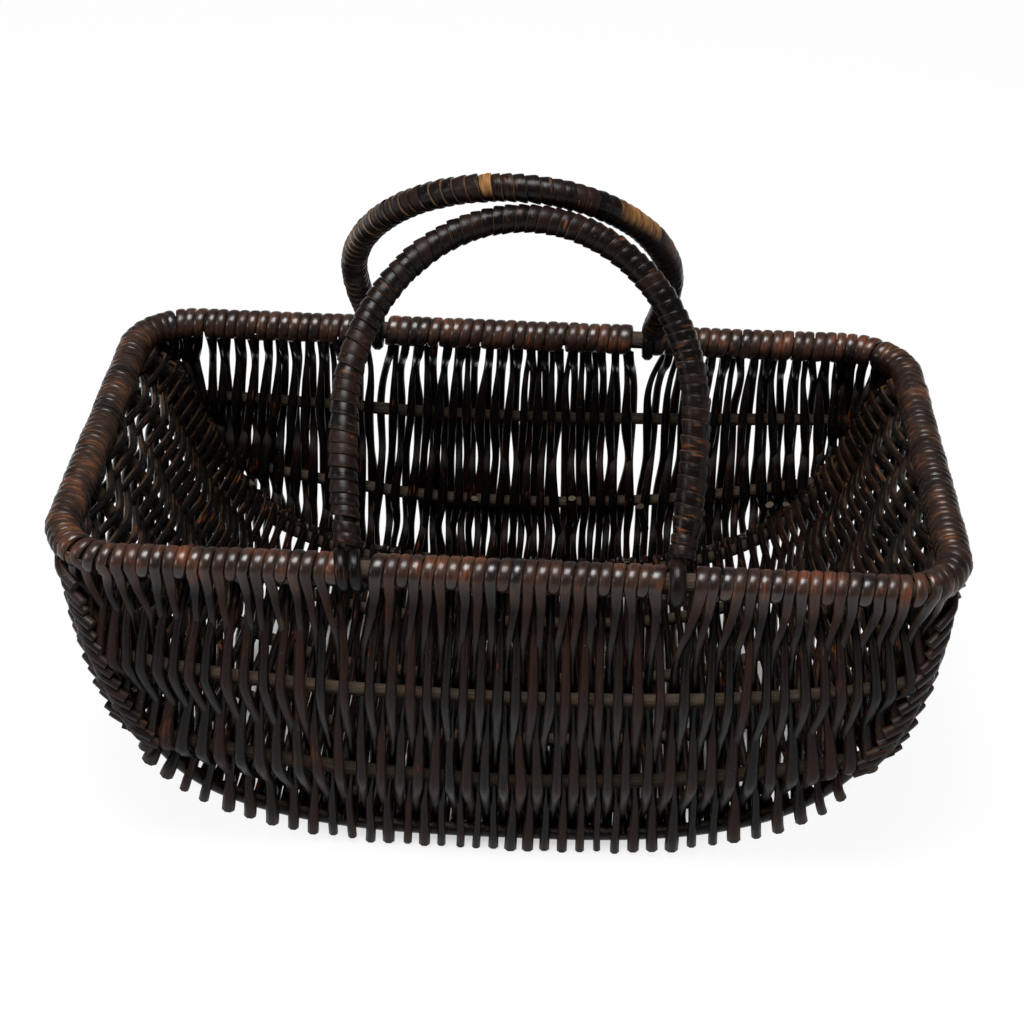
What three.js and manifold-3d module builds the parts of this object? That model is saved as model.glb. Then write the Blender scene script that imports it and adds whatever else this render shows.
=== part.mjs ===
// An unlined willow basket: a stout rim rod bound by the rods of the walls, ribs that the rods
// weave round, a floor that curves up into both ends, and two arched handles that swing on the rim.
// Millimetres. +X runs along the basket, -Y is its front, +Z is up and Z = 0 is the ground.
import * as THREE from "three";
import { mergeVertices } from "three/addons/utils/BufferGeometryUtils.js";
import Module from "manifold-3d";

// Rim
const rimLength = 432; // between the centrelines of the two end rims
const rimWidth = 237; // between the centrelines of the front and back rims
const rimHeight = 167; // centreline of the rim above the ground
const rimCornerRadius = 32;
const rimRodDiameter = 10;
const rimWrapThickness = 3.7;
const bareRim = 2.5; // rim left unbound on each side of a handle's foot

// Walls, which weave up from the curved lower edge to the rim
const wallBulge = 14; // how far a long wall swells outside the rim
const edgeEndInset = 6; // from an end rim's centreline in to the lower edge's curve
const edgeHeight = 7; // lowest point of the edge rib's centreline above the ground
const edgeEndCurve = 3.0; // a larger value makes the curve squarer at its ends
const edgeFloorCurve = 2.2; // a larger value makes the curve flatter along the floor
const wallEndDrop = 32; // the last wall rods meet the edge rib this far below the rim
const wallEndInset = 30; // from an end rim's centreline in to the last wall rod
const upperRibDrop = 62;
const upperRibRise = 14; // how much higher the rib's line is at the end rims
const lowerRibHeight = 48; // above the ground, in the middle of a wall
const lowerRibRise = 34;
const ribEndGap = 12; // between a wall rib and the edge rib
const cutEndLength = 9; // rods cut off below the edge rib, level with the ground in the middle
const cutEndShortening = 0.3; // share by which the cut ends are shorter at the ends of a wall

// Floor and ends, one strip that curves from rim to rim
const stripEndInset = 7; // from an end rim's centreline in to the curve of the floor's ribs
const floorHeight = 12.5; // lowest point of the floor ribs' centrelines above the ground
const stripTopDrop = 19; // centre of the highest cross rod below the rim's centreline
const floorHalfLength = 112;
const bendShare = 0.335; // share of the curve beside the floor that each bend takes

// Rods and ribs
const rodWidth = 4.6;
const rodDepth = 4.2;
const wallPitch = 5.8;
const stripRodWidth = 6.8;
const stripRodDepth = 4.6;
const stripPitch = 8.4;
const ribDiameter = 7;
const jointHeight = 4; // length over which crossing neighbours press together

// Handles
const handleFootSpread = 154; // between the two feet of a handle
const handleSpread = 168; // between its legs at their widest
const handleLeg = 78; // from the rim's centreline to the widest place
const frontHandleRise = 96; // from there to the top of the arch
const backHandleRise = 105.5;
const frontHandleShift = 4; // along the rim from the middle of the basket
const backHandleShift = -5;
const handleCoreDiameter = 9;
const handleWrapThickness = 2.1;
const eyeThickness = 6.4; // of the rod where it is bent round the rim
const bindingLength = 10.5; // of the binding above each eye
const bindingTaper = 1.2;

// Clearances
const seat = 0.3; // between pieces that touch
const weaveClearance = 0.5; // between a rod and the rib that it passes
const eyeClearance = 0.5; // between an eye and the rim rod that it turns on
const handleClearance = 1; // between a swinging handle and what it passes

// Facets
const rimSides = 8;
const ribSides = 6;
const coreSides = 8;
const eyeSegments = 12;
const cornerSteps = 4;
const archSteps = 12;

const edgeHalfLength = rimLength / 2 - edgeEndInset;
const stripHalfLength = rimLength / 2 - stripEndInset;
const wallHalfLength = rimLength / 2 - wallEndInset;
const rimRodRadius = rimRodDiameter / 2;
const rimWrapRadius = rimRodRadius + seat + rimWrapThickness;
const ribRadius = ribDiameter / 2;
const coreRadius = handleCoreDiameter / 2;
const gripRadius = coreRadius + seat + handleWrapThickness;
const eyeRadius =
  (rimRodRadius + eyeClearance + eyeThickness / 2) / Math.cos(Math.PI / eyeSegments);
const eyeOuterRadius = eyeRadius + eyeThickness / 2;

const wasm = await Module();
wasm.setup();

// Collects the faces of one solid, with the corners of each face given as points.
class Solid {
  constructor() {
    this.points = [];
  }

  triangle(a, b, c) {
    this.points.push(a, b, c);
  }

  quad(a, b, c, d) {
    this.triangle(a, b, c);
    this.triangle(a, c, d);
  }

  // The shared corners are merged, and the faces are turned if they point inwards.
  geometry() {
    let volume = 0;
    for (let i = 0; i < this.points.length; i += 3) {
      const [a, b, c] = this.points.slice(i, i + 3);
      volume += a.dot(new THREE.Vector3().crossVectors(b, c));
    }
    const order = volume < 0 ? [0, 2, 1] : [0, 1, 2];
    const ordered = this.points.map((_, i) => this.points[i - (i % 3) + order[i % 3]]);
    return mergeVertices(new THREE.BufferGeometry().setFromPoints(ordered), 1e-4);
  }
}

// Places around a circle in the plane of two unit vectors.
function ring(centre, across, up, radius, sides) {
  return Array.from({ length: sides }, (_, i) => {
    const angle = ((i + 0.5) / sides) * 2 * Math.PI;
    return centre
      .clone()
      .addScaledVector(across, radius * Math.cos(angle))
      .addScaledVector(up, radius * Math.sin(angle));
  });
}

// Joins each ring to the next with quads, and the last to the first if the rings close on themselves.
function skin(solid, rings, inward = false, closed = false) {
  const count = closed ? rings.length : rings.length - 1;
  for (let k = 0; k < count; k++) {
    const here = rings[k];
    const next = rings[(k + 1) % rings.length];
    here.forEach((_, i) => {
      const j = (i + 1) % here.length;
      if (inward) solid.quad(here[j], here[i], next[i], next[j]);
      else solid.quad(here[i], here[j], next[j], next[i]);
    });
  }
}

// A tube over stations, each with its centre, two unit vectors across it and a radius.
function tube(stations, sides, closed = false) {
  const solid = new Solid();
  const rings = stations.map((s) => ring(s.centre, s.across, s.up, s.radius, sides));
  skin(solid, rings, false, closed);
  if (!closed) {
    const first = rings[0];
    const last = rings[rings.length - 1];
    for (let i = 1; i < sides - 1; i++) {
      solid.triangle(first[0], first[i + 1], first[i]);
      solid.triangle(last[0], last[i], last[i + 1]);
    }
  }
  return solid.geometry();
}

// A tube with a bore, whose ends are flat rings.
function sleeve(stations, bore, sides) {
  const solid = new Solid();
  const outer = stations.map((s) => ring(s.centre, s.across, s.up, s.radius, sides));
  const inner = stations.map((s) => ring(s.centre, s.across, s.up, bore, sides));
  skin(solid, outer);
  skin(solid, inner, true);
  const end = stations.length - 1;
  for (let i = 0; i < sides; i++) {
    const j = (i + 1) % sides;
    solid.quad(outer[0][j], outer[0][i], inner[0][i], inner[0][j]);
    solid.quad(outer[end][i], outer[end][j], inner[end][j], inner[end][i]);
  }
  return solid.geometry();
}

function manifoldOf(geometry) {
  const bare = geometry.clone();
  bare.deleteAttribute("normal");
  bare.deleteAttribute("uv");
  const merged = mergeVertices(bare, 1e-4);
  return new wasm.Manifold(
    new wasm.Mesh({
      numProp: 3,
      vertProperties: new Float32Array(merged.attributes.position.array),
      triVerts: new Uint32Array(merged.index.array),
    }),
  );
}

function geometryOf(manifold) {
  const mesh = manifold.getMesh();
  const geometry = new THREE.BufferGeometry();
  geometry.setAttribute("position", new THREE.BufferAttribute(mesh.vertProperties, 3));
  geometry.setIndex(new THREE.BufferAttribute(mesh.triVerts, 1));
  return geometry;
}

// The rim's outline seen from above: half its width at a place along X.
function planHalfWidth(x) {
  const straight = rimLength / 2 - rimCornerRadius;
  const past = Math.min(Math.max(Math.abs(x) - straight, 0), rimCornerRadius);
  return rimWidth / 2 - rimCornerRadius + Math.sqrt(rimCornerRadius ** 2 - past ** 2);
}

// How far the wall swells outside the rim's outline, most near the upper rib.
function bulgeAt(x, z) {
  const depth = Math.min(Math.max((rimHeight - z) / rimHeight, 0), 1);
  const fade = 1 - Math.min(Math.abs(x) / (rimLength / 2), 1) ** 4;
  return wallBulge * Math.sin(Math.PI * depth ** 0.7) * fade;
}

// The curve of the lower edge and of the floor strip, measured along its length from the middle.
class Profile {
  constructor(halfLength, drop) {
    this.samples = [];
    let length = 0;
    let before;
    for (let k = 0; k <= 400; k++) {
      const angle = (Math.PI / 2) * (k / 400) ** 2;
      const x = halfLength * Math.sin(angle) ** (2 / edgeEndCurve);
      const z = rimHeight - drop * Math.max(Math.cos(angle), 0) ** (2 / edgeFloorCurve);
      if (before) length += Math.hypot(x - before.x, z - before.z);
      before = { x, z, length };
      this.samples.push(before);
    }
  }

  // Interpolates between samples on the quantity named by key.
  find(key, value) {
    const last = this.samples.length - 1;
    let k = this.samples.findIndex((sample) => sample[key] >= value);
    if (k < 1) k = k < 0 ? last : 1;
    const a = this.samples[k - 1];
    const b = this.samples[k];
    const share = (value - a[key]) / (b[key] - a[key]);
    return {
      x: a.x + (b.x - a.x) * share,
      z: a.z + (b.z - a.z) * share,
      length: a.length + (b.length - a.length) * share,
    };
  }

  at(length) {
    const { x, z } = this.find("length", Math.abs(length));
    return { x: Math.sign(length) * x, z };
  }
}

const edge = new Profile(edgeHalfLength, rimHeight - edgeHeight);
const strip = new Profile(stripHalfLength, rimHeight - floorHeight);

// Both ways along a surface and the way out of it, by differences between near points.
function directions(surface, p, q) {
  const across = surface(p + 1e-3, q).sub(surface(p - 1e-3, q)).normalize();
  const along = surface(p, q + 1e-3).sub(surface(p, q - 1e-3)).normalize();
  const out = new THREE.Vector3().crossVectors(across, along).normalize();
  return { across, along, out };
}

// A panel of rods laid side by side over a surface. A rod is a chain of square sections, each at its
// own distance from the surface. Where neighbours cross between two ribs they press together, take up
// the whole pitch and share their sides, which makes the panel one solid.
function wovenPanel(surface, rods, jointAt, width, depth) {
  const solid = new Solid();
  rods.forEach((rod, i) => {
    const section = ({ q, offset }, shift = 0) => {
      const { across, out } = directions(surface, rod.p, q);
      const centre = surface(rod.p, q).addScaledVector(out, offset + shift);
      const side = (a, b) =>
        centre
          .clone()
          .addScaledVector(across, (a * width) / 2)
          .addScaledVector(out, (b * depth) / 2);
      return [side(-1, 1), side(1, 1), side(1, -1), side(-1, -1)];
    };
    const pressed = (end) => {
      const own = section({ q: jointAt(rod.p)[end], offset: 0 });
      const shared = (other) => {
        const p = (rod.p + other.p) / 2;
        const q = jointAt(p)[end];
        const { out } = directions(surface, p, q);
        return [1, -1].map((b) => surface(p, q).addScaledVector(out, (b * depth) / 2));
      };
      const left = i > 0 ? shared(rods[i - 1]) : [own[0], own[3]];
      const right = i < rods.length - 1 ? shared(rods[i + 1]) : [own[1], own[2]];
      return [left[0], right[0], right[1], left[1]];
    };
    const before = rod.before.map((station) => section(station));
    const after = rod.after.map((station) => section(station));
    const sections = [...before, pressed(0), pressed(1), ...after];
    const jointIndex = before.length;
    for (let k = 0; k < sections.length - 1; k++) {
      for (let side = 0; side < 4; side++) {
        const sharedRight = side === 1 && i < rods.length - 1;
        const sharedLeft = side === 3 && i > 0;
        if (k === jointIndex && (sharedRight || sharedLeft)) continue;
        const j = (side + 1) % 4;
        solid.quad(sections[k][side], sections[k][j], sections[k + 1][j], sections[k + 1][side]);
      }
    }
    const first = sections[0];
    const last = sections[sections.length - 1];
    solid.quad(first[3], first[2], first[1], first[0]);
    solid.quad(last[0], last[1], last[2], last[3]);
  });
  return solid.geometry();
}

// A long wall. p runs from -1 to 1 along the rim and q from 0 at the rim to 1 at the edge rib.
const wallTop = rimHeight - rimWrapRadius - seat;
const wallEdgeLength = edge.find("z", rimHeight - wallEndDrop).length;

function wallFoot(p) {
  const spread = wallHalfLength * Math.abs(p) + (wallEdgeLength - wallHalfLength) * p * p;
  return edge.at(Math.sign(p) * spread);
}

// side is -1 for the front wall and 1 for the back, so that the way out of either faces outwards.
function wallSurface(side) {
  return (p, q) => {
    const foot = wallFoot(p);
    const x = p * wallHalfLength + (foot.x - p * wallHalfLength) * q;
    const z = wallTop + (foot.z - wallTop) * q;
    return new THREE.Vector3(side * x, side * (planHalfWidth(x) + bulgeAt(x, z)), z);
  };
}

const wallRibs = [
  { drop: upperRibDrop, rise: upperRibRise },
  { drop: rimHeight - lowerRibHeight, rise: lowerRibRise },
];

function ribHeight(rib, x) {
  return rimHeight - rib.drop + rib.rise * (x / (rimLength / 2)) ** 2;
}

// How far along the wall a rib reaches before the edge rib, or the bend of the rim, stops it.
function ribHalfLength(rib) {
  let x = 0;
  const room = ribDiameter + rodDepth + ribEndGap;
  while (x < rimLength / 2 - rimCornerRadius && ribHeight(rib, x) - edge.find("x", x).z > room) x++;
  return x;
}

// Where a rod crosses a rib, as a share of the rod's length, or nothing where it misses it.
function crossing(p, rib) {
  const foot = wallFoot(p);
  let q = 0.5;
  let x = 0;
  for (let step = 0; step < 4; step++) {
    x = p * wallHalfLength + (foot.x - p * wallHalfLength) * q;
    q = (wallTop - ribHeight(rib, x)) / (wallTop - foot.z);
  }
  return Math.abs(x) < ribHalfLength(rib) + rodWidth ? q : null;
}

// The height at which neighbours press together, half way from the rim to what lies below it.
function wallJoint(p) {
  const foot = wallFoot(p);
  const below = Math.max(ribHeight(wallRibs[0], p * wallHalfLength), foot.z);
  const height = wallTop - (wallTop - below) * 0.55;
  const share = (z) => (wallTop - z) / (wallTop - foot.z);
  const half = Math.min(jointHeight, (wallTop - below) / 5) / 2;
  return [share(height + half), share(height - half)];
}

const wallWeaveOffset = (ribRadius + weaveClearance + rodDepth / 2) * 1.03;

// How far a rod stands off the middle of a rib that it crosses, from how steeply it comes and goes
// and from the angle between the two. A steep or slanting crossing needs more room.
function standOff(slope, angle) {
  const overRib = ribRadius * Math.hypot(1, slope / Math.sin(angle));
  const overWidth = (slope * rodWidth) / 2 / Math.tan(angle);
  return rodDepth / 2 + weaveClearance + overRib + overWidth;
}

// One wall rod's sections from the joint downwards. firstWay is 1 if it passes outside its first rib.
function wallStations(p, firstWay) {
  const foot = wallFoot(p);
  const rod = new THREE.Vector2(p * wallHalfLength - foot.x, wallTop - foot.z);
  const length = rod.length();
  const near = edge.find("z", foot.z + 1);
  const along = new THREE.Vector2((p < 0 ? -near.x : near.x) - foot.x, near.z - foot.z);
  const crossings = wallRibs.map((rib) => crossing(p, rib)).filter((q) => q !== null);
  const places = [wallJoint(p)[1], ...crossings, 1];
  const stations = [];
  for (let k = 1; k < places.length; k++) {
    const isEdge = k === places.length - 1;
    const above = (places[k] - places[k - 1]) * length;
    const below = isEdge ? Infinity : (places[k + 1] - places[k]) * length;
    const slope = Math.max((k > 1 ? 2 : 1) / above, 2 / below) * wallWeaveOffset;
    const angle = Math.abs(isEdge ? rod.angleTo(along) : Math.asin(rod.y / length));
    const way = firstWay * (k % 2 ? 1 : -1);
    stations.push({ q: places[k], offset: way * standOff(slope, angle) });
  }
  const end = stations[stations.length - 1];
  if (end.offset > 0) {
    const cut = cutEndLength * (1 - cutEndShortening * p * p);
    stations.push({ q: 1 + cut / length, offset: end.offset });
  } else {
    const above = stations.length > 1 ? stations[stations.length - 2] : { q: places[0], offset: 0 };
    end.q = 1 + ribRadius / length;
    end.offset = above.offset + ((end.offset - above.offset) * (end.q - above.q)) / (1 - above.q);
  }
  return stations;
}

function wallPanel(side, handleShift) {
  const count = Math.round((2 * wallHalfLength) / wallPitch);
  const notchHalf = gripRadius + rodWidth / 2 + handleClearance;
  const notchTop = rimHeight - eyeOuterRadius - eyeThickness;
  const feet = [-1, 1].map((way) => handleShift + (way * handleFootSpread) / 2);
  const topOffset = 0.6 * Math.min(wallWeaveOffset, rimWrapRadius - rodDepth);
  const rods = [];
  for (let i = 0; i <= count; i++) {
    const p = (2 * i) / count - 1;
    const outside = i % 2 ? 1 : -1;
    const underFoot = feet.some((x) => Math.abs(side * p * wallHalfLength - x) < notchHalf);
    const top = underFoot ? (wallTop - notchTop) / (wallTop - wallFoot(p).z) : 0;
    rods.push({
      p,
      before: [{ q: top, offset: outside * topOffset }],
      after: wallStations(p, -outside),
    });
  }
  const ground = new THREE.BoxGeometry(rimLength, 2 * rimWidth, cutEndLength);
  ground.translate(0, 0, -cutEndLength / 2);
  const panel = wovenPanel(wallSurface(side), rods, wallJoint, rodWidth, rodDepth);
  return geometryOf(manifoldOf(panel).subtract(manifoldOf(ground)));
}

// A rod's centreline as a three.js curve, from a function of a share from 0 to 1.
class Centreline extends THREE.Curve {
  constructor(pointAt) {
    super();
    this.pointAt = pointAt;
  }

  getPoint(share) {
    return this.pointAt(share);
  }
}

function bentRod(pointAt, radius, sides, steps) {
  const section = new THREE.Shape(
    Array.from({ length: sides }, (_, i) => {
      const angle = ((i + 0.5) / sides) * 2 * Math.PI;
      return new THREE.Vector2(radius * Math.cos(angle), radius * Math.sin(angle));
    }),
  );
  const options = { steps, extrudePath: new Centreline(pointAt), bevelEnabled: false };
  return new THREE.ExtrudeGeometry(section, options);
}

// A rib of a long wall, which stops just short of the edge rib at both ends.
function wallRib(side, rib) {
  const halfLength = ribHalfLength(rib);
  const pointAt = (share) => {
    const x = (2 * share - 1) * halfLength;
    const z = ribHeight(rib, x);
    return new THREE.Vector3(x, side * (planHalfWidth(x) + bulgeAt(x, z)), z);
  };
  return bentRod(pointAt, ribRadius, ribSides, 16);
}

// The rib along the curved lower edge of a long wall, from rim to rim.
function edgeRib(side) {
  const top = edge.find("z", rimHeight - rimWrapRadius - seat).length;
  const rodLengths = [];
  const count = Math.round((2 * wallHalfLength) / wallPitch);
  for (let i = 0; i <= count; i++) {
    const p = (2 * i) / count - 1;
    const near = i % (Math.abs(p) > 0.5 ? 2 : 6) === 0;
    if (near) rodLengths.push(Math.sign(p) * edge.find("x", Math.abs(wallFoot(p).x)).length);
  }
  const lengths = [-top, -(top + wallEdgeLength) / 2, ...rodLengths, (top + wallEdgeLength) / 2, top];
  const pointAt = (length) => {
    const { x, z } = edge.at(length);
    return new THREE.Vector3(x, side * (planHalfWidth(x) + bulgeAt(x, z)), z);
  };
  return tube(stationsOn(lengths.map(pointAt), ribRadius, new THREE.Vector3(0, 1, 0)), ribSides);
}

// Turns centres into stations whose sections lie across the line through their neighbours.
function stationsOn(centres, radius, side) {
  return centres.map((centre, k) => {
    const from = centres[Math.max(k - 1, 0)];
    const to = centres[Math.min(k + 1, centres.length - 1)];
    const tangent = to.clone().sub(from).normalize();
    const up = new THREE.Vector3().crossVectors(tangent, side).normalize();
    const across = new THREE.Vector3().crossVectors(up, tangent);
    return { centre, across, up, radius };
  });
}

// The floor strip. p is the length along its profile and q runs from -1 at the back to 1 at the front.
const stripWeaveOffset = (ribRadius + 1.5 * weaveClearance + stripRodDepth / 2) * 1.03;
const wallReach = wallWeaveOffset + rodDepth / 2 + 4 * weaveClearance;
const stripRibPlaces = [-0.9, -0.45, 0, 0.45, 0.9];
const stripJointPlace = 0.225;

function stripHalfWidth(x, z) {
  return planHalfWidth(x) + bulgeAt(x, z) - wallReach;
}

function stripSurface(p, q) {
  const { x, z } = strip.at(p);
  return new THREE.Vector3(x, -q * stripHalfWidth(x, z), z);
}

const stripTop = strip.find("z", rimHeight - stripTopDrop).length;
const floorHalf = strip.find("x", floorHalfLength).length;
const bendLength = (stripTop - floorHalf) * bendShare;

const stripPanels = [
  { name: "left_end_weave", from: -stripTop, to: -floorHalf - 2 * bendLength },
  { name: "left_upper_bend_weave", from: -floorHalf - 2 * bendLength, to: -floorHalf - bendLength },
  { name: "left_lower_bend_weave", from: -floorHalf - bendLength, to: -floorHalf },
  { name: "floor_weave", from: -floorHalf, to: floorHalf },
  { name: "right_lower_bend_weave", from: floorHalf, to: floorHalf + bendLength },
  { name: "right_upper_bend_weave", from: floorHalf + bendLength, to: floorHalf + 2 * bendLength },
  { name: "right_end_weave", from: floorHalf + 2 * bendLength, to: stripTop },
];

function stripJoint(p) {
  const { x, z } = strip.at(p);
  const half = jointHeight / 2 / stripHalfWidth(x, z);
  return [-stripJointPlace - half, -stripJointPlace + half];
}

// Cross rods between two lengths along the strip, alternately over and under its five ribs.
function stripPanel(from, to) {
  const count = Math.round((2 * stripTop) / stripPitch);
  const rods = [];
  for (let i = 0; i <= count; i++) {
    const p = (2 * i * stripTop) / count - stripTop;
    if (p < from - 1e-6 || p >= to - 1e-6) continue;
    const way = i % 2 ? 1 : -1;
    const spacing = stripRibPlaces[1] - stripRibPlaces[0];
    const end = stripWeaveOffset * ((2 * (1 - stripRibPlaces[3])) / spacing - 1);
    const [, second, middle, fourth] = stripRibPlaces;
    const at = (q, offset) => ({ q, offset: way * offset });
    rods.push({
      p,
      before: [at(-1, end), at(second, -stripWeaveOffset)],
      after: [at(middle, stripWeaveOffset), at(fourth, -stripWeaveOffset), at(1, end)],
    });
  }
  return wovenPanel(stripSurface, rods, stripJoint, stripRodWidth, stripRodDepth);
}

function stripRib(place) {
  const top = strip.find("z", rimHeight - rimWrapRadius + seat).length;
  const flat = floorHalf * 0.75;
  const lengths = [];
  for (let k = 1; k <= 2; k++) lengths.push((flat * k) / 2);
  for (let k = 1; k <= 10; k++) lengths.push(flat + ((top - flat) * k) / 10);
  const all = [...lengths.map((length) => -length).reverse(), 0, ...lengths];
  const centres = all.map((length) => stripSurface(length, place));
  return tube(stationsOn(centres, ribRadius, new THREE.Vector3(0, 1, 0)), ribSides);
}

// The rim's centreline seen from above, measured from the middle of the front, towards +X first.
const straightX = rimLength / 2 - rimCornerRadius;
const straightY = rimWidth / 2 - rimCornerRadius;
const cornerLength = (Math.PI / 2) * rimCornerRadius;
const quarterLength = straightX + cornerLength + straightY;
const rimLoopLength = 4 * quarterLength;

// One corner in turn: where its arc starts, its centre and the angle at which it starts.
const rimCorners = [
  { start: straightX, x: straightX, y: -straightY, angle: -Math.PI / 2 },
  { start: 2 * quarterLength - straightX - cornerLength, x: straightX, y: straightY, angle: 0 },
  { start: 2 * quarterLength + straightX, x: -straightX, y: straightY, angle: Math.PI / 2 },
  { start: 4 * quarterLength - straightX - cornerLength, x: -straightX, y: -straightY, angle: Math.PI },
];

function rimStation(length, radius) {
  const s = ((length % rimLoopLength) + rimLoopLength) % rimLoopLength;
  const corner = rimCorners.findLast((c) => s >= c.start) ?? rimCorners[3];
  const turned = Math.min((s - corner.start) / cornerLength, 1);
  const past = Math.max(s - corner.start - cornerLength, 0);
  const onFirst = s < rimCorners[0].start;
  const angle = onFirst ? -Math.PI / 2 : corner.angle + (turned * Math.PI) / 2;
  const out = new THREE.Vector3(Math.cos(angle), Math.sin(angle), 0);
  const way = new THREE.Vector3(-Math.sin(angle), Math.cos(angle), 0);
  const centre = onFirst
    ? new THREE.Vector3(s, -rimWidth / 2, 0)
    : new THREE.Vector3(corner.x, corner.y, 0)
        .addScaledVector(out, rimCornerRadius)
        .addScaledVector(way, past);
  centre.z = rimHeight;
  return { centre, across: out, up: new THREE.Vector3(0, 0, 1), radius };
}

// Stations at the two ends and at every step of the corners between them.
function rimStations(from, to, radius) {
  const places = [from, to];
  for (let turn = -1; turn <= 1; turn++) {
    for (const corner of rimCorners) {
      for (let k = 0; k <= cornerSteps; k++) {
        const place = corner.start + (k / cornerSteps) * cornerLength + turn * rimLoopLength;
        if (place > from + 0.01 && place < to - 0.01) places.push(place);
      }
    }
  }
  return places.sort((a, b) => a - b).map((place) => rimStation(place, radius));
}

function rimWrap(from, to) {
  return sleeve(rimStations(from, to, rimWrapRadius), rimRodRadius + seat, rimSides);
}

// A handle in its own plane: X across, Z up from the rim's centreline, with its feet on the rim.
function handleCentres(rise, heights) {
  const foot = handleFootSpread / 2;
  const half = handleSpread / 2;
  const leg = (z) => foot + (half - foot) * (1 - (1 - z / handleLeg) ** 2);
  const centres = heights.map((z) => new THREE.Vector3(leg(z), 0, z));
  for (let k = 0; k <= archSteps; k++) {
    const angle = (k / archSteps) * Math.PI;
    const x = half * Math.cos(angle);
    centres.push(new THREE.Vector3(x, 0, handleLeg + rise * Math.sin(angle)));
  }
  return [...centres, ...[...heights].reverse().map((z) => new THREE.Vector3(-leg(z), 0, z))];
}

const bindingStart = eyeOuterRadius + seat;
const wrapStart = bindingStart + bindingLength + seat;
const legHeights = [eyeRadius, bindingStart, bindingStart + bindingLength, wrapStart];
const middleOfLeg = (wrapStart + handleLeg) / 2;
const handleAcross = new THREE.Vector3(0, 1, 0);

function handleStations(rise, radius) {
  return stationsOn(handleCentres(rise, [...legHeights, middleOfLeg]), radius, handleAcross);
}

// The rod under the wrapping, bent round the rim in an eye at each foot.
function handleCore(rise) {
  let core = manifoldOf(tube(handleStations(rise, coreRadius), coreSides));
  for (const way of [-1, 1]) {
    const eye = new THREE.TorusGeometry(eyeRadius, eyeThickness / 2, coreSides, eyeSegments);
    eye.rotateY(Math.PI / 2).translate((way * handleFootSpread) / 2, 0, 0);
    core = core.add(manifoldOf(eye));
  }
  return geometryOf(core);
}

function handleWrap(rise) {
  const stations = handleStations(rise, gripRadius);
  const skipped = legHeights.length - 1;
  return sleeve(stations.slice(skipped, stations.length - skipped), coreRadius + seat, coreSides);
}

// The binding that tapers from the wrapping down to an eye.
function handleBinding(rise, way) {
  const all = handleStations(rise, gripRadius);
  const stations = way > 0 ? all.slice(1, 3) : all.slice(-3, -1);
  stations[way > 0 ? 0 : 1].radius = gripRadius - bindingTaper;
  return sleeve(stations, coreRadius + seat, coreSides);
}

// The lean at which the arches touch, with their tops either side of the basket's middle.
function leanOf(rise, fromMiddle) {
  return Math.asin((rimWidth / 2 - fromMiddle) / (handleLeg + rise));
}

function handleGap(fromMiddle) {
  const path = (rise, shift, side) => {
    const lean = side * leanOf(rise, fromMiddle);
    const turn = new THREE.Matrix4().makeRotationX(lean);
    turn.setPosition(shift, (side * rimWidth) / 2, rimHeight);
    return handleCentres(rise, [wrapStart, middleOfLeg]).map((c) => c.applyMatrix4(turn));
  };
  const front = path(frontHandleRise, frontHandleShift, -1);
  const back = path(backHandleRise, backHandleShift, 1);
  let least = Infinity;
  for (let i = 0; i < front.length - 1; i++) {
    const a = new THREE.Line3(front[i], front[i + 1]);
    for (let j = 0; j < back.length - 1; j++) {
      const b = new THREE.Line3(back[j], back[j + 1]);
      for (let k = 0; k <= 10; k++) {
        const onA = a.at(k / 10, new THREE.Vector3());
        const onB = b.closestPointToPoint(onA, true, new THREE.Vector3());
        least = Math.min(least, onA.distanceTo(onB));
      }
    }
  }
  return least - 2 * gripRadius;
}

function touchingPlace() {
  let near = -gripRadius;
  let far = 3 * gripRadius;
  for (let step = 0; step < 24; step++) {
    const middle = (near + far) / 2;
    if (handleGap(middle) < seat) near = middle;
    else far = middle;
  }
  return far;
}

const group = new THREE.Group();

function addPiece(parent, name, geometry, colour, roughness) {
  const material = new THREE.MeshStandardMaterial({ color: colour, roughness, metalness: 0 });
  const mesh = new THREE.Mesh(geometry, material);
  mesh.name = name;
  parent.add(mesh);
  return mesh;
}

const varnished = "#1c1310";
const weathered = "#4d4338";
const bound = "#2a1b15";

addPiece(group, "front_wall_weave", wallPanel(-1, frontHandleShift), varnished, 0.45);
addPiece(group, "back_wall_weave", wallPanel(1, backHandleShift), varnished, 0.45);
for (const [wall, side] of [["front", -1], ["back", 1]]) {
  addPiece(group, `${wall}_upper_rib`, wallRib(side, wallRibs[0]), weathered, 0.8);
  addPiece(group, `${wall}_lower_rib`, wallRib(side, wallRibs[1]), weathered, 0.8);
  addPiece(group, `${wall}_edge_rib`, edgeRib(side), weathered, 0.8);
}

for (const { name, from, to } of stripPanels) {
  addPiece(group, name, stripPanel(from, to), varnished, 0.5);
}
stripRibPlaces.forEach((place, i) => {
  addPiece(group, `floor_rib_${i + 1}`, stripRib(place), weathered, 0.8);
});

// The rim rod is one hoop, bare where the handles turn on it and bound everywhere else.
const hoop = rimStations(0, rimLoopLength, rimRodRadius).slice(1, -1);
addPiece(group, "rim_rod", tube(hoop, rimSides, true), weathered, 0.7);

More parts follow.
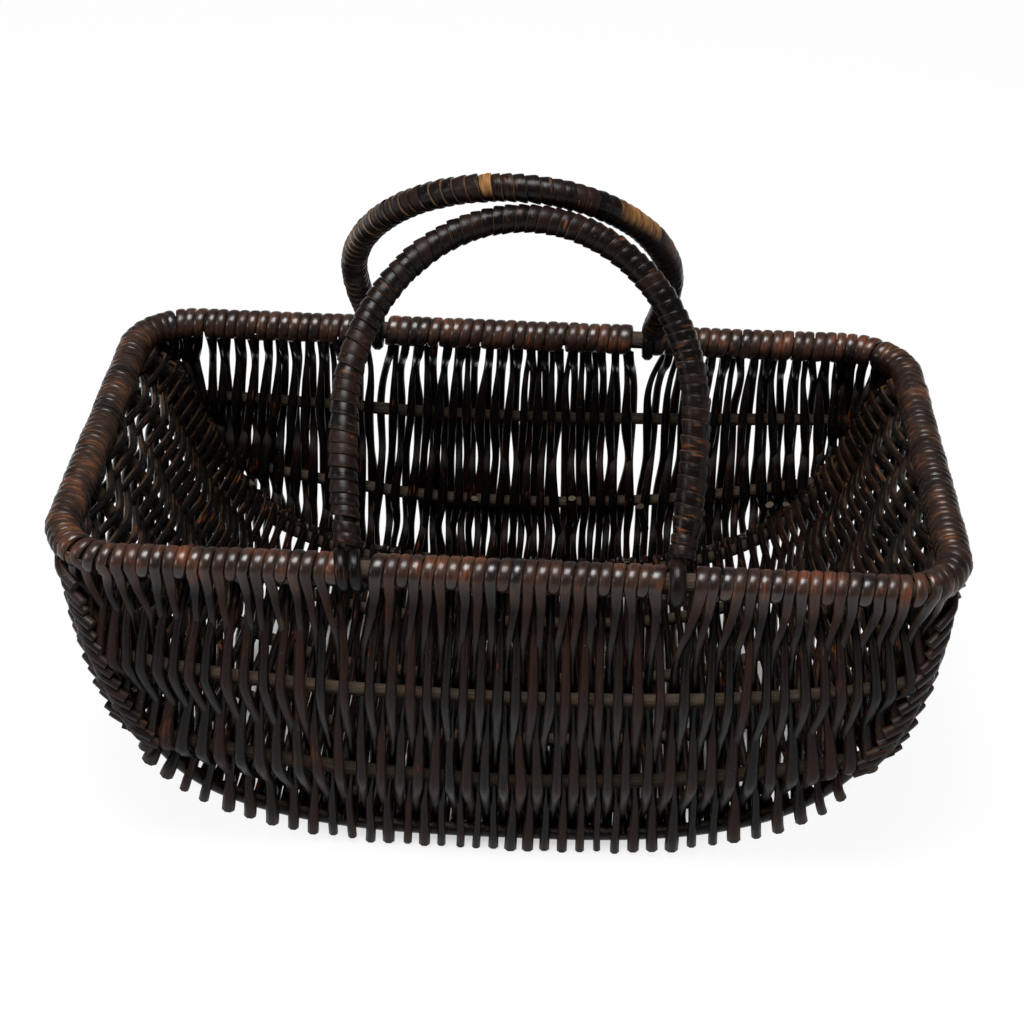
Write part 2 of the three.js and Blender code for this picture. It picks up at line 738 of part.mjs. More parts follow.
// Where each foot stands along the rim, in the order met from the middle of the front.
const bareHalf = coreRadius + bareRim;
const footPlaces = [
  frontHandleShift + handleFootSpread / 2,
  2 * quarterLength - backHandleShift - handleFootSpread / 2,
  2 * quarterLength - backHandleShift + handleFootSpread / 2,
  rimLoopLength + frontHandleShift - handleFootSpread / 2,
];
const [frontRight, backRight, backLeft, frontLeft] = footPlaces;
const cornerEnds = rimCorners.map((corner) => corner.start + cornerLength);
const rimWraps = [
  ["front_middle_rim_wrap", frontLeft - rimLoopLength + bareHalf, frontRight - bareHalf],
  ["front_right_rim_wrap", frontRight + bareHalf, cornerEnds[0]],
  ["right_rim_wrap", cornerEnds[0] + seat, rimCorners[1].start - seat],
  ["back_right_rim_wrap", rimCorners[1].start, backRight - bareHalf],
  ["back_middle_rim_wrap", backRight + bareHalf, backLeft - bareHalf],
  ["back_left_rim_wrap", backLeft + bareHalf, cornerEnds[2]],
  ["left_rim_wrap", cornerEnds[2] + seat, rimCorners[3].start - seat],
  ["front_left_rim_wrap", rimCorners[3].start, frontLeft - bareHalf],
];
for (const [name, from, to] of rimWraps) addPiece(group, name, rimWrap(from, to), bound, 0.35);

const topPlace = touchingPlace();
for (const [wall, side, shift, rise] of [
  ["front", -1, frontHandleShift, frontHandleRise],
  ["back", 1, backHandleShift, backHandleRise],
]) {
  const handle = new THREE.Group();
  handle.position.set(shift, (side * rimWidth) / 2, rimHeight);
  handle.rotation.x = side * leanOf(rise, topPlace);
  addPiece(handle, `${wall}_handle_core`, handleCore(rise), weathered, 0.6);
  addPiece(handle, `${wall}_handle_wrap`, handleWrap(rise), bound, 0.35);
  addPiece(handle, `${wall}_handle_left_binding`, handleBinding(rise, -1), bound, 0.4);
  addPiece(handle, `${wall}_handle_right_binding`, handleBinding(rise, 1), bound, 0.4);
  group.add(handle);
}

export default group;
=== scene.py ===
# %% [markdown]
# # A varnished willow basket with two swinging handles
#
# The measured model gives every piece of the basket its size, its place and its joint. This lesson
# dresses it. Each plain piece of the model is replaced by willow: round rods that were woven while
# wet, split strips wound round the rim and the handles, and the cut ends that a weaver leaves.
# Nearly everything is one idea, a rounded section carried along many paths at once, worked out as
# whole numpy arrays.

# %% Load the measured model
import math

import bpy
import numpy as np
from mathutils import Matrix, Vector


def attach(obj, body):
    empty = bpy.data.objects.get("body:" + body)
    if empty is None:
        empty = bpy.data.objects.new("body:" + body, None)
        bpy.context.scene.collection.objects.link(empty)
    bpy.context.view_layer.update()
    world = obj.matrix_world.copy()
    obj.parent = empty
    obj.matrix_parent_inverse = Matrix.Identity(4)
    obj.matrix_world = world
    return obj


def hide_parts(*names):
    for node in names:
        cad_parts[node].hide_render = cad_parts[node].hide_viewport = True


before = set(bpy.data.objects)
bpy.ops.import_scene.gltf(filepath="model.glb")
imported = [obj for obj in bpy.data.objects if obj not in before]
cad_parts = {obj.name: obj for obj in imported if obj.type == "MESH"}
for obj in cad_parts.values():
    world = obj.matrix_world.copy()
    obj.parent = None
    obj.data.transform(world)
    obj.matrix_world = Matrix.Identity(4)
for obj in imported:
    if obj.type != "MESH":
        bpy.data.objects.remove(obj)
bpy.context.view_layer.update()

# %% [markdown]
# ## Sizes and curves of the frame
#
# All shapes are worked out in millimetres, with X along the basket, -Y to the front and Z up from
# the ground, and turned to metres only when a mesh is written. A weaver sets up the frame first,
# and the rods only follow it, so the lesson starts there too. The rim is a rounded rectangle. A
# long wall hangs from it and swells outwards a little, and ends below at a D-shaped edge rib. The
# floor is one strip that curves up into both ends. Points picked by eye would make lumpy curves,
# so each is a formula: a superellipse suits the edge rib, flat in the middle and steep at its end.

# %% The basket's sizes
RIM_LENGTH = 432.0
RIM_WIDTH = 237.0
RIM_HEIGHT = 167.0
RIM_CORNER = 32.0
RIM_ROD = 10.0
WALL_BULGE = 14.0
LEFT_TUCK, RIGHT_TUCK = 11.0, 5.0
RIB = 7.0
EDGE_RIB = 7.2
FOOT_SPREAD = 154.0
STRAIGHT_X = RIM_LENGTH / 2 - RIM_CORNER
STRAIGHT_Y = RIM_WIDTH / 2 - RIM_CORNER
UPWARDS = np.array([0, 0, 1.0])
print("the rim's straights:", 2 * STRAIGHT_X, "and", 2 * STRAIGHT_Y, "mm")

# %% Curves of the rim, the walls and the floor


def unit(vectors):
    """Each vector divided by its own length."""
    return vectors / np.linalg.norm(vectors, axis=-1, keepdims=True)


def smooth(t):
    """0 below 0, 1 above 1, and 3t^2 - 2t^3 between, which starts and ends level."""
    t = np.clip(t, 0, 1)
    return t * t * (3 - 2 * t)


def plan_half_width(x):
    """Half the rim's width at length x: level, then a quarter circle, left just before its end."""
    past = np.clip(np.abs(x) - STRAIGHT_X, 0, RIM_CORNER * 0.995)
    return STRAIGHT_Y + np.sqrt(RIM_CORNER**2 - past**2)


def bulge(x, z):
    """How far the wall swells: a half sine over the depth, fading out with x to the power 4."""
    depth = np.clip((RIM_HEIGHT - z) / RIM_HEIGHT, 0, 1)
    fade = 1 - np.minimum(np.abs(x) / (RIM_LENGTH / 2), 1) ** 4
    return WALL_BULGE * np.sin(np.pi * depth**0.7) * fade


def edge_curve(half_length, drop):
    """A superellipse below the rim, as arrays of length along it, x and z.

    x is half_length * sin(a)^(2/3) and z is the rim's height less drop * cos(a)^(2/2.2)."""
    a = np.pi / 2 * np.linspace(0, 1, 401) ** 2
    x = half_length * np.sin(a) ** (2 / 3)
    z = RIM_HEIGHT - drop * np.maximum(np.cos(a), 0) ** (2 / 2.2)
    along = np.concatenate([[0], np.cumsum(np.hypot(np.diff(x), np.diff(z)))])
    return along, x, z


EDGE = edge_curve(210.0, 160.0)
FLOOR = edge_curve(207.0, 154.5)


def on_curve(curve, along):
    """x and z at a signed length along a curve, read between its samples.

    Both ends were pulled in a little more than the curve, the left one most: x shrinks by
    tuck * smooth((x - 135) / 60) * sin(pi * depth^0.75), with depth from 0 at the rim to 1."""
    distance = np.abs(along)
    x = np.interp(distance, curve[0], curve[1])
    z = np.interp(distance, curve[0], curve[2])
    depth = np.clip((RIM_HEIGHT - z) / RIM_HEIGHT, 0, 1)
    tuck = np.where(along < 0, LEFT_TUCK, RIGHT_TUCK)
    return np.sign(along) * (x - tuck * smooth((x - 135) / 60) * np.sin(np.pi * depth**0.75)), z


print("length of the edge rib:", round(2 * EDGE[0][-1]), "mm")

# %% [markdown]
# ## A section carried along many paths
#
# A rod, a rib and a wound strip differ only in their path and their section. A round section suits
# a rod; a flat one with full corners suits a split strip. Modelling each rod by hand, or bevelling
# a curve object, would work for a few, but here the paths of a whole wall are one array, and the
# corners of all their sections come out of a few lines of arithmetic.

# %% Sweep sections along paths


def sweep(path, out, width, depth, sides=8, fullness=2.0, roll=0.0):
    """Corners of sections along paths, as an array of paths, stations, sides and 3.

    Ahead joins a station's two neighbours, across is ahead x out and up is across x ahead. The
    corner at angle a lies at path + across * width/2 * c + up * depth/2 * s, where c and s are the
    cosine and sine of a raised to 2 / fullness. roll turns the section about ahead, in radians."""
    ahead = unit(np.gradient(path, axis=1))
    across = unit(np.cross(ahead, out))
    up = np.cross(across, ahead)
    turn = np.broadcast_to(np.asarray(roll, float), path.shape[:2])[..., None]
    cos, sin = np.cos(turn), np.sin(turn)
    across, up = across * cos + up * sin, up * cos - across * sin
    a = (np.arange(sides) + 0.5) / sides * 2 * np.pi
    c = np.sign(np.cos(a)) * np.abs(np.cos(a)) ** (2 / fullness)
    s = np.sign(np.sin(a)) * np.abs(np.sin(a)) ** (2 / fullness)
    half_width = np.broadcast_to(np.asarray(width, float), path.shape[:2])[..., None, None] / 2
    half_depth = np.broadcast_to(np.asarray(depth, float), path.shape[:2])[..., None, None] / 2
    corners = across[:, :, None] * (half_width * c[:, None])
    return path[:, :, None] + (corners + up[:, :, None] * (half_depth * s[:, None]))


def grain_of(sections, path, seed):
    """Where each corner lies in its own rod's wood: length along it, then its place across it.

    The length starts at a random figure for each path, so that no two rods look alike."""
    step = np.linalg.norm(np.diff(path, axis=1), axis=-1)
    along = np.concatenate([np.zeros((len(path), 1)), np.cumsum(step, axis=1)], axis=1)
    along = along + np.random.default_rng(seed).uniform(0, 900, (len(path), 1))
    radial = sections - path[:, :, None]
    angle = (np.arange(sections.shape[2]) + 0.5) / sections.shape[2] * 2 * np.pi
    reach = np.linalg.norm(radial, axis=-1)
    along = np.broadcast_to(along[..., None], reach.shape)
    return np.stack([along, reach * np.cos(angle), reach * np.sin(angle)], axis=-1)


first = sweep(np.array([[[0, 0, 0], [10.0, 0, 0]]]), UPWARDS, RIB, RIB)[0, 0, 0]
print("the first corner of a section along X:", first.round(2))

# %% [markdown]
# One mesh can hold all the rods of a wall, and is quicker to make and to move than a hundred
# objects. The class below gathers corners and faces and writes them in one go. It also keeps
# marks, a number at each corner that a finish reads later, such as how light the wood is.

# %% Gather sections into one mesh
SHARP_FROM = math.radians(58)


def new_object(name, data):
    """An object that holds data, at the origin, in the scene."""
    made = bpy.data.objects.new(name, data)
    bpy.context.scene.collection.objects.link(made)
    return made


class Willow:
    """Collects swept sections, and makes one mesh of them with its grain, tone and cut ends."""

    def __init__(self):
        self.points, self.grain, self.faces, self.slots = [], [], [], []
        self.marks = {name: [] for name in ("tone", "bare", "dive_sheen", "rub", "edge")}
        self.count = 0

    def add(
        self, path, out, width, depth, tone, cut=(0, 0), seed=0, closed=False, marks=(), **section
    ):
        """Adds paths. cut names the material slots of the two end faces of each.

        tone, for each path or station, is how light its wood is, from 0 to 1; on the wall rods it
        also carries painted shade where they lie inside. marks may name three more, each 0 where it
        isn't
        given: bare, where no varnish is left, dive_sheen, where a rod turns in under its neighbours
        and its colour is lightened as a painted sheen, and rub, where hands rub it. edge is 1 along
        a strip's two sides."""
        corners = sweep(path, out, width, depth, **section)
        rods, stations, sides, _ = corners.shape
        index = self.count + np.arange(rods * stations * sides).reshape(rods, stations, sides)
        ahead = np.roll(index, -1, axis=1) if closed else index[:, 1:]
        here = index if closed else index[:, :-1]
        quads = np.stack([here, ahead, np.roll(ahead, -1, axis=2), np.roll(here, -1, axis=2)], -1)
        quads = quads.reshape(-1, 4)
        self.faces += quads.tolist()
        self.slots += [0] * len(quads)
        if not closed:
            self.faces += index[:, 0].tolist() + index[:, -1, ::-1].tolist()
            self.slots += [cut[0]] * rods + [cut[1]] * rods
        self.points.append(corners.reshape(-1, 3))
        self.grain.append(grain_of(corners, path, seed).reshape(-1, 3))
        around = (np.arange(sides) + 0.5) / sides * 2 * np.pi
        given = {"tone": np.reshape(tone, (rods, -1, 1)), "edge": np.abs(np.cos(around))}
        for name, mark in dict(marks).items():
            given[name] = np.broadcast_to(mark, (rods, stations))[..., None]
        for name, values in self.marks.items():
            values.append(np.broadcast_to(given.get(name, 0.0), (rods, stations, sides)).ravel())
        self.count += corners.size // 3

    def piece(self, name, body, nodes, material):
        """Writes the mesh in metres, shades it smooth with sharp cut ends, and ties it to its body.

        Slot 0 holds the piece's own material, and slot 1 that of a cut end."""
        mesh = bpy.data.meshes.new(name)
        mesh.from_pydata(np.concatenate(self.points) / 1000, [], self.faces)
        grain = mesh.attributes.new("grain", "FLOAT_VECTOR", "POINT")
        grain.data.foreach_set("vector", np.concatenate(self.grain).astype(np.float32).ravel())
        for mark, values in self.marks.items():
            stored = mesh.attributes.new(mark, "FLOAT", "POINT")
            stored.data.foreach_set("value", np.concatenate(values).astype(np.float32))
        mesh.materials.append(material)
        mesh.materials.append(CUT_END)
        mesh.polygons.foreach_set("material_index", np.array(self.slots, np.int32))
        mesh.shade_smooth()
        mesh.set_sharp_from_angle(angle=SHARP_FROM)
        made = new_object(name, mesh)
        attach(made, body)
        if nodes:
            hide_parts(*nodes)
        print(name, len(self.faces), "faces")


def make_piece(name, nodes, finish, material, *paths, body="basket", **settings):
    """A piece that is one set of paths: its sections are added, and its mesh is written."""
    willow = Willow()
    willow.add(*paths, **settings)
    willow.piece(name, body, nodes, material)


# %% [markdown]
# ## Materials
#
# All of it is willow, in four states. The rods were stained near-black and varnished after they
# were woven, so their crowns shine, and in places the stain has worn to red-brown. The ribs took
# the stain badly and are grey-brown and matt. Split strip, wound flat, is the glossiest, with a few
# of its turns worn to tan. The sides of rods and strips are lightened, partly by wear and partly as
# a painted highlight, and a painted grey sheen lies where a rod dives under its neighbours. A cut
# end shows raw wood. The patterns follow each rod's own grain, so they are read from the grain
# stored on the mesh, in millimetres.

# %% Colours and one function that adds a node


def linear(text):
    """A hex colour as written for a screen, turned to linear light: ((c + 0.055) / 1.055) ^ 2.4."""
    channels = np.array([int(text[i : i + 2], 16) / 255 for i in (1, 3, 5)])
    low, high = channels / 12.92, ((channels + 0.055) / 1.055) ** 2.4
    return (*np.where(channels <= 0.04045, low, high).tolist(), 1.0)


def add_node(tree, kind, inputs=None, **settings):
    """Adds one node: settings are its own properties, and inputs are values or other sockets."""
    made = tree.nodes.new(kind)
    for name, value in settings.items():
        setattr(made, name, value)
    for socket, value in (inputs or {}).items():
        if isinstance(value, bpy.types.NodeSocket):
            tree.links.new(value, made.inputs[socket])
        else:
            made.inputs[socket].default_value = value
    return made


print("a mid grey of the screen in linear light:", round(linear("#808080")[0], 3))

# %% [markdown]
# One recipe serves the four states, because the wood is the same and only its figures differ. Long
# streaks come from a noise that is stretched 14 times along the grain, with a width of about 0.8
# mm. Worn patches are about 14 mm across. Specks of dust and chipped varnish are drawn 0.5 mm
# wide, from a noise of 1.1 mm, which is coarser than real, so that they show. Where a rod dives
# under its neighbours its colour is lightened to a dull grey, a painted sheen for the pale floor's
# reflection. Where hands rub, the varnish is polished and the stain has worn to brown. Dark rods
# hold more varnish, so they shine more.

# %% Make a willow finish
STREAKS_PER_MM = (0.09, 1.25, 1.25)
PATCH_METRES, SPECK_METRES = 0.014, 0.0011
# The first colour is a painted sheen: grey laid where rods dive, for the pale floor's reflection.
# The third is partly wear and partly a painted highlight along the sides of rods and strips.
PAINTED_SHEEN, RUBBED, EDGE_WEAR_AND_GLINT = "#3b3937", "#3b251a", "#94785c"
DUST, CHIPPED = "#8d7f70", "#0a0706"
COAT_ROUGHNESS, RAW_ROUGHNESS = 0.28, 0.75


def willow_finish(
    name, dark, light, worn, wear, rough, coat, bump, specular, edge_wear_and_glint=0.0, bare="#4a4039"
):
    """Dark to light by streak and by rod, then a painted grey sheen where rods dive, worn patches,
    edges lightened partly by wear and partly as a painted highlight, bare butts and specks.

    The colour moves from dark to light with streak * rod tone, and to worn where patch * streak
    passes a threshold that falls as wear grows, and falls further where hands rub. Roughness starts
    at rough, and rises with streak and with rod tone. bump is the relief in millimetres."""
    material = bpy.data.materials.new(name)
    material.use_nodes = True
    tree = material.node_tree
    shader = tree.nodes["Principled BSDF"]

    def stored(mark, socket="Fac"):
        return add_node(tree, "ShaderNodeAttribute", attribute_name=mark).outputs[socket]

    def noise(vector, scale, detail):
        inputs = {"Vector": vector, "Scale": scale, "Detail": detail}
        return add_node(tree, "ShaderNodeTexNoise", inputs).outputs["Fac"]

    def ramp(value, low, high, to_low=0.0, to_high=1.0):
        inputs = {
            "Value": value, "From Min": low, "From Max": high, "To Min": to_low, "To Max": to_high
        }
        return add_node(tree, "ShaderNodeMapRange", inputs).outputs[0]

    def joined(operation, one, two, three=0.0):
        inputs = {0: one, 1: two, 2: three}
        return add_node(tree, "ShaderNodeMath", inputs, operation=operation).outputs[0]

    def mixed(factor, one, two):
        inputs = {"Factor": factor, 6: one, 7: two}
        return add_node(tree, "ShaderNodeMix", inputs, data_type="RGBA").outputs[2]

    grain, tone, rub = stored("grain", "Vector"), stored("tone"), stored("rub")
    place = add_node(tree, "ShaderNodeTexCoord").outputs["Object"]
    fibres = add_node(tree, "ShaderNodeMapping", {"Vector": grain, "Scale": STREAKS_PER_MM})
    streak = noise(fibres.outputs[0], 1.0, 4.0)
    patch = noise(place, 1 / PATCH_METRES, 3.0)
    colour = mixed(ramp(joined("MULTIPLY", streak, tone), 0.08, 0.55), linear(dark), linear(light))
    # Painted sheen: where a rod dives, its colour goes to a grey that stands for the pale floor's
    # reflection.
    dive_sheen = joined("MULTIPLY", stored("dive_sheen"), ramp(streak, 0.3, 0.62, 0.25, 1.0))
    colour = mixed(dive_sheen, colour, linear(PAINTED_SHEEN))
    rubbed = joined("MULTIPLY", rub, ramp(patch, 0.4, 0.62, 0.05, 0.9))
    colour = mixed(rubbed, colour, linear(RUBBED))
    reach = joined("MULTIPLY_ADD", rub, 0.06, joined("MULTIPLY", patch, streak))
    colour = mixed(ramp(reach, 0.40 - wear, 0.50 - wear), colour, linear(worn))
    # Along the sides of rods and strips the colour is lightened: partly wear, partly a painted
    # highlight for the glint on their edges.
    if edge_wear_and_glint:
        along_edge = ramp(stored("edge"), 0.88, 0.98, 0.0, edge_wear_and_glint)
        rubbed = joined("MULTIPLY", along_edge, ramp(patch, 0.38, 0.6))
        rubbed = joined("MULTIPLY", rubbed, ramp(rub, 0.0, 1.0, 1.0, 0.25))
        colour = mixed(rubbed, colour, linear(EDGE_WEAR_AND_GLINT))
    gone = joined("MULTIPLY", stored("bare"), ramp(streak, 0.35, 0.6, 0.3, 1.0))
    colour = mixed(gone, colour, linear(bare))
    dots = noise(place, 1 / SPECK_METRES, 2.0)
    colour = mixed(ramp(dots, 0.70, 0.78, 0.0, 0.4), colour, linear(DUST))
    colour = mixed(ramp(dots, 0.30, 0.24, 0.0, 0.7), colour, linear(CHIPPED))
    tree.links.new(colour, shader.inputs["Base Color"])
    roughness = ramp(streak, 0.3, 0.7, rough - 0.06, rough + 0.14)
    roughness = joined("MULTIPLY_ADD", rub, -0.08, roughness)
    roughness = joined("ADD", roughness, ramp(tone, 0.1, 0.9, -0.08, 0.16))
    roughness = joined("MAXIMUM", roughness, joined("MULTIPLY", gone, RAW_ROUGHNESS))
    tree.links.new(roughness, shader.inputs["Roughness"])
    gloss = joined("MULTIPLY", rub, ramp(tone, 0.1, 0.9, 0.65, 0.35))
    tree.links.new(joined("ADD", gloss, coat), shader.inputs["Coat Weight"])
    shader.inputs["Coat Roughness"].default_value = COAT_ROUGHNESS
    shader.inputs["Specular IOR Level"].default_value = specular
    relief = {"Height": joined("ADD", streak, patch), "Distance": bump / 1000}
    tree.links.new(add_node(tree, "ShaderNodeBump", relief).outputs[0], shader.inputs["Normal"])
    return material


# Woven rods, stained near-black and varnished: dark, with soft highlights and red-brown rubs, a
# painted grey sheen where they dive, and painted light lines along their sides.
VARNISHED_ROD = willow_finish(
    "varnished_willow_rod", "#060302", "#27130b", "#5f3019",
    wear=0.04, rough=0.33, coat=0.05, bump=0.3, specular=0.16, edge_wear_and_glint=0.3,
)
# Unpeeled ribs that took no stain: grey-brown and matt.
BARE_RIB = willow_finish(
    "bare_willow_rib", "#17100d", "#4e4339", "#63543f",
    wear=0.02, rough=0.7, coat=0.0, bump=0.5, specular=0.1,
)
# Split strip, wound flat: the glossiest, with patches rubbed to tan, and edges lightened to tan,
# partly wear and partly a painted highlight.
WOUND_STRIP = willow_finish(
    "wound_willow_strip", "#070403", "#1f0f09", "#5e381d",
    wear=0.05, rough=0.3, coat=0.04, bump=0.25, specular=0.14, edge_wear_and_glint=1.0, bare="#94683c",
)
# A cut end: raw wood, gone grey.
CUT_END = willow_finish(
    "cut_willow_end", "#3a322a", "#766958", "#94846d",
    wear=0.05, rough=0.8, coat=0.0, bump=0.3, specular=0.1,
)
print("finishes:", [each.name for each in (VARNISHED_ROD, BARE_RIB, WOUND_STRIP, CUT_END)])

# %% [markdown]
# ## A place on a long wall
#
# Each rod of a wall is drawn as a length x along the basket, a height z and a distance off the
# wall's surface. The way out of the surface comes from how its half width changes with x and z.

# %% Places on the walls and the rim


def on_wall(side, x, z, off):
    """Points off millimetres outside a wall, and the way out there.

    The way out is (-dw/dx, 1, -dw/dz) of unit length, where w is the wall's half width."""
    w = plan_half_width(x) + bulge(x, z)
    dx = plan_half_width(x + 0.5) + bulge(x + 0.5, z) - plan_half_width(x - 0.5) - bulge(x - 0.5, z)
    dz = bulge(x, z + 2) - bulge(x, z - 2)
    out = unit(np.stack([-dx, np.ones_like(x), -dz / 4], axis=-1))
    place = np.stack([x, w, z], axis=-1) + out * np.asarray(off)[..., None]
    flip = np.array([1.0, side, 1.0])
    return place * flip, out * flip


def on_rim(side, x, angle, radius):
    """Points round the rim rod at length x, with angle 0 outwards and 90 degrees on top.

    The point is the rim's centreline + radius * (cos(angle) * out + sin(angle) * up)."""
    slope = plan_half_width(x + 0.5) - plan_half_width(x - 0.5)
    out = unit(np.stack([-slope, np.ones_like(x), np.zeros_like(x)], axis=-1))
    turned = out * np.cos(angle)[..., None] + UPWARDS * np.sin(angle)[..., None]
    centre = np.stack([x, plan_half_width(x), np.full_like(x, RIM_HEIGHT)], axis=-1)
    flip = np.array([1.0, side, 1.0])
    return (centre + turned * np.asarray(radius)[..., None]) * flip, turned * flip


def rib_height(drop, rise, x):
    """A wall rib's height: drop below the rim in the middle, and higher with x squared."""
    return RIM_HEIGHT - drop + rise * (x / (RIM_LENGTH / 2)) ** 2


def through(values, where):
    """A smooth curve through evenly spaced values, read at where, for each row.

    Between two values it is the cubic that leaves each with the slope of its two neighbours."""
    last = values.shape[1] - 1
    k = np.clip(np.floor(where).astype(int), 0, last - 1)
    t = np.clip(where, 0, last) - k
    a, b, c, d = (
        np.take_along_axis(values, np.clip(k + step, 0, last), axis=1) for step in (-1, 0, 1, 2)
    )
    return b + t * (c - a + t * (2 * a - 5 * b + 4 * c - d + t * (3 * (b - c) + d - a))) / 2


half_way = on_wall(1, np.zeros(1), np.full(1, RIM_HEIGHT / 2), 0)[0][0]
print("the wall's half width, half way down in the middle:", half_way[1].round(1), "mm")

# %% [markdown]
# ## The rods of a long wall
#
# Rods stand side by side, and each passes the upper rib, the lower rib and the edge rib by turns
# outside and inside. Every other rod starts outside: its top was flattened and wrapped over the
# rim, and it tapers into the wall from there. The rods between start inside the rim and come out
# at the upper rib, and their butts are cut off in a row below the edge rib, where the basket
# stands.
#
# The tops are shared out evenly along the rim, but for a gap at each foot of a handle. The places
# where a rod meets the ribs count its phase: 0 at the rim, and 1 more at each rib that it passes.

# %% Share out the rods along the rim and the ribs
RODS = 96
STATIONS = 58
TOP_HALF = 206.0
UPPER = (62.0, 14.0)
LOWER = (119.0, 34.0)
HANDLE_SHIFT = {-1: 4.0, 1: -5.0}
BARE_HALF = 7.5


def clear_of_feet(side, x):
    """Squeezes lengths along the rim so that none falls on the bare rod beside a handle's foot."""
    left, right = HANDLE_SHIFT[side] - FOOT_SPREAD / 2, HANDLE_SHIFT[side] + FOOT_SPREAD / 2
    stops = np.array([
        -TOP_HALF, left - BARE_HALF, left + BARE_HALF,
        right - BARE_HALF, right + BARE_HALF, TOP_HALF,
    ])
    kept = np.diff(stops) * (1, 0, 1, 0, 1)
    share = np.concatenate([[0], np.cumsum(kept)]) / kept.sum() + np.arange(6) * 1e-9
    return np.interp((x + TOP_HALF) / (2 * TOP_HALF), share, stops)


def where_it_meets(rib, top, foot_x, foot_z):
    """The share of a rod's length at which it passes a wall rib, and whether it does so at all.

    The share is found in five rounds, and a rib less than 9 mm above the rod's foot isn't met."""
    at = np.full_like(top, 0.5)
    for _ in range(5):
        at = (RIM_HEIGHT - rib_height(*rib, top + (foot_x - top) * at)) / (RIM_HEIGHT - foot_z)
    met = (1 - at) * (RIM_HEIGHT - foot_z) > 9
    return np.where(met, at, 1.0), met


print("tops of a wall's rods:", RODS, "and", round(2 * TOP_HALF / (RODS - 1), 2), "mm apart")

# %% [markdown]
# Half way between two ribs all the rods lie in one layer, so each is squeezed narrow there and is
# widest where it lies on a rib. That, and the bend, gives the leaf shapes that willow walls have.
# Near the ends of the wall each rod also leans: it lies nearer the end of the basket outside a
# rib, and dives behind its neighbour on the side of the middle. Both are waves of the phase.

# %% How a rod swings and leans
STAND_OFF = 6.0
LEAN_AT = (0, 0.25, 0.5, 0.75, 1, 1.25, 1.5, 1.75)
LEAN = (1, 0.1, -1, -0.75, -0.3, 0.2, 0.7, 0.95)


def share_between(q, low, high):
    """0 up to low, 1 from high on, and even between."""
    return np.clip((q - low) / np.maximum(high - low, 1e-6), 0, 1)


def swing(phase):
    """1 and -1 by turns at whole phases: a third of a cosine and two thirds of a triangle wave.

    The triangle is 2 / pi * arcsin(cos(pi * phase)), as taut rods run straight between two ribs."""
    wave = np.cos(np.pi * phase)
    return 0.35 * wave + 0.65 * 2 / np.pi * np.arcsin(0.995 * wave)


def zigzag(phase):
    """Where a leaning rod lies across, by the phase since its crest, joined by straight lines.

    It comes out from behind its neighbours upright, turns at the crest, and dives in slanting."""
    return np.interp(phase % 2, LEAN_AT, LEAN, period=2)


print("swing from one rib to the next:", swing(np.linspace(0, 1, 5)).round(2))

# %% [markdown]
# No two rods run alike. Each drifts along a smooth curve of its own, groups of six drift together,
# and neighbours draw together in pairs. The rods beside a handle's foot spread under it, which
# closes the gap in the row. All this is added to the line from a rod's top to its foot, and the
# points are then laid on the wall.

# %% Work out how rods drift, close and end
GROUP = 6
HALF_PHASES = np.arange(9) / 2
PAIR_PULL = 1.7
UNDER_FOOT = 5.0
NEAR_MIDDLE, AT_CORNER = 0.42, 0.78


def rod_drift(p, way, unruly, chance):
    """Nine figures for each rod, one for each half phase, that a smooth curve joins to its drift.

    They are the rod's own, plus those of its group, plus a pull of up to 1.7 mm * unruly towards
    or from its neighbour at the two wall ribs, which fades in away from the wall's middle."""
    drift = chance.uniform(-0.35, 0.35, (RODS, 9))
    drift[:, 1::2] += chance.uniform(-unruly, unruly, (RODS, 4))
    group = np.repeat(chance.uniform(-1.0, 1.0, (RODS // GROUP, 9)), GROUP, axis=0)
    drift[:, 1:] += (group * (0.4 + 0.6 * unruly))[:, 1:]
    pairs = way * chance.uniform(-0.3, 1, (RODS, 4)) * PAIR_PULL * unruly
    pairs = pairs * smooth((np.abs(p) - 0.1) / 0.4)
    pairs = np.pad(pairs, ((0, 0), (1, 0))) * (0, 1, 1, 0.3, 0)
    drift += through(pairs, np.zeros((RODS, 1)) + HALF_PHASES)
    drift[:, 0] = 0
    return drift


def under_the_feet(side, top):
    """How far rods move towards a foot: 5 mm * exp(-(d / 11 mm)^2), with d from the gap's edge."""
    aside = top[..., None] - HANDLE_SHIFT[side] - np.array([-0.5, 0.5]) * FOOT_SPREAD
    near = np.exp(-(((np.abs(aside) - BARE_HALF) / 11) ** 2))
    return -(np.sign(aside) * UNDER_FOOT * near).sum(-1)


def butt_lengths(p, starts_out, chance):
    """How far each rod runs on past the edge rib, and which outer rods end hidden behind it.

    An inner rod's butt is about 6.3 + 0.8 p - 1.2 p^2 mm, and an outer rod's is shorter. None shows
    where an outer rod is near the middle, nor at the corners, which other rods fill."""
    butt = 6.3 + 0.8 * p - 1.2 * p**2 + chance.uniform(-1.5, 0.5, p.shape)
    hidden = starts_out & (np.abs(p) < NEAR_MIDDLE)
    butt = np.where(starts_out, butt * chance.uniform(0.5, 0.9, p.shape), butt)
    return np.where(hidden | (np.abs(p) > AT_CORNER), 0.5, butt), hidden


# %% Work out one wall's rods
SPREAD = 62.0
MIDDLE_LEAN, RIGHT_LEAN = 0.5, 0.6
BENT_END = 9.0
WALLS = {
    "front": {"side": -1, "seed": 11, "unruly": 0.75, "lean_most": 2.8, "slimmest": 4.2},
    "back": {"side": 1, "seed": 23, "unruly": 1.2, "lean_most": 0.9, "slimmest": 4.4},
}


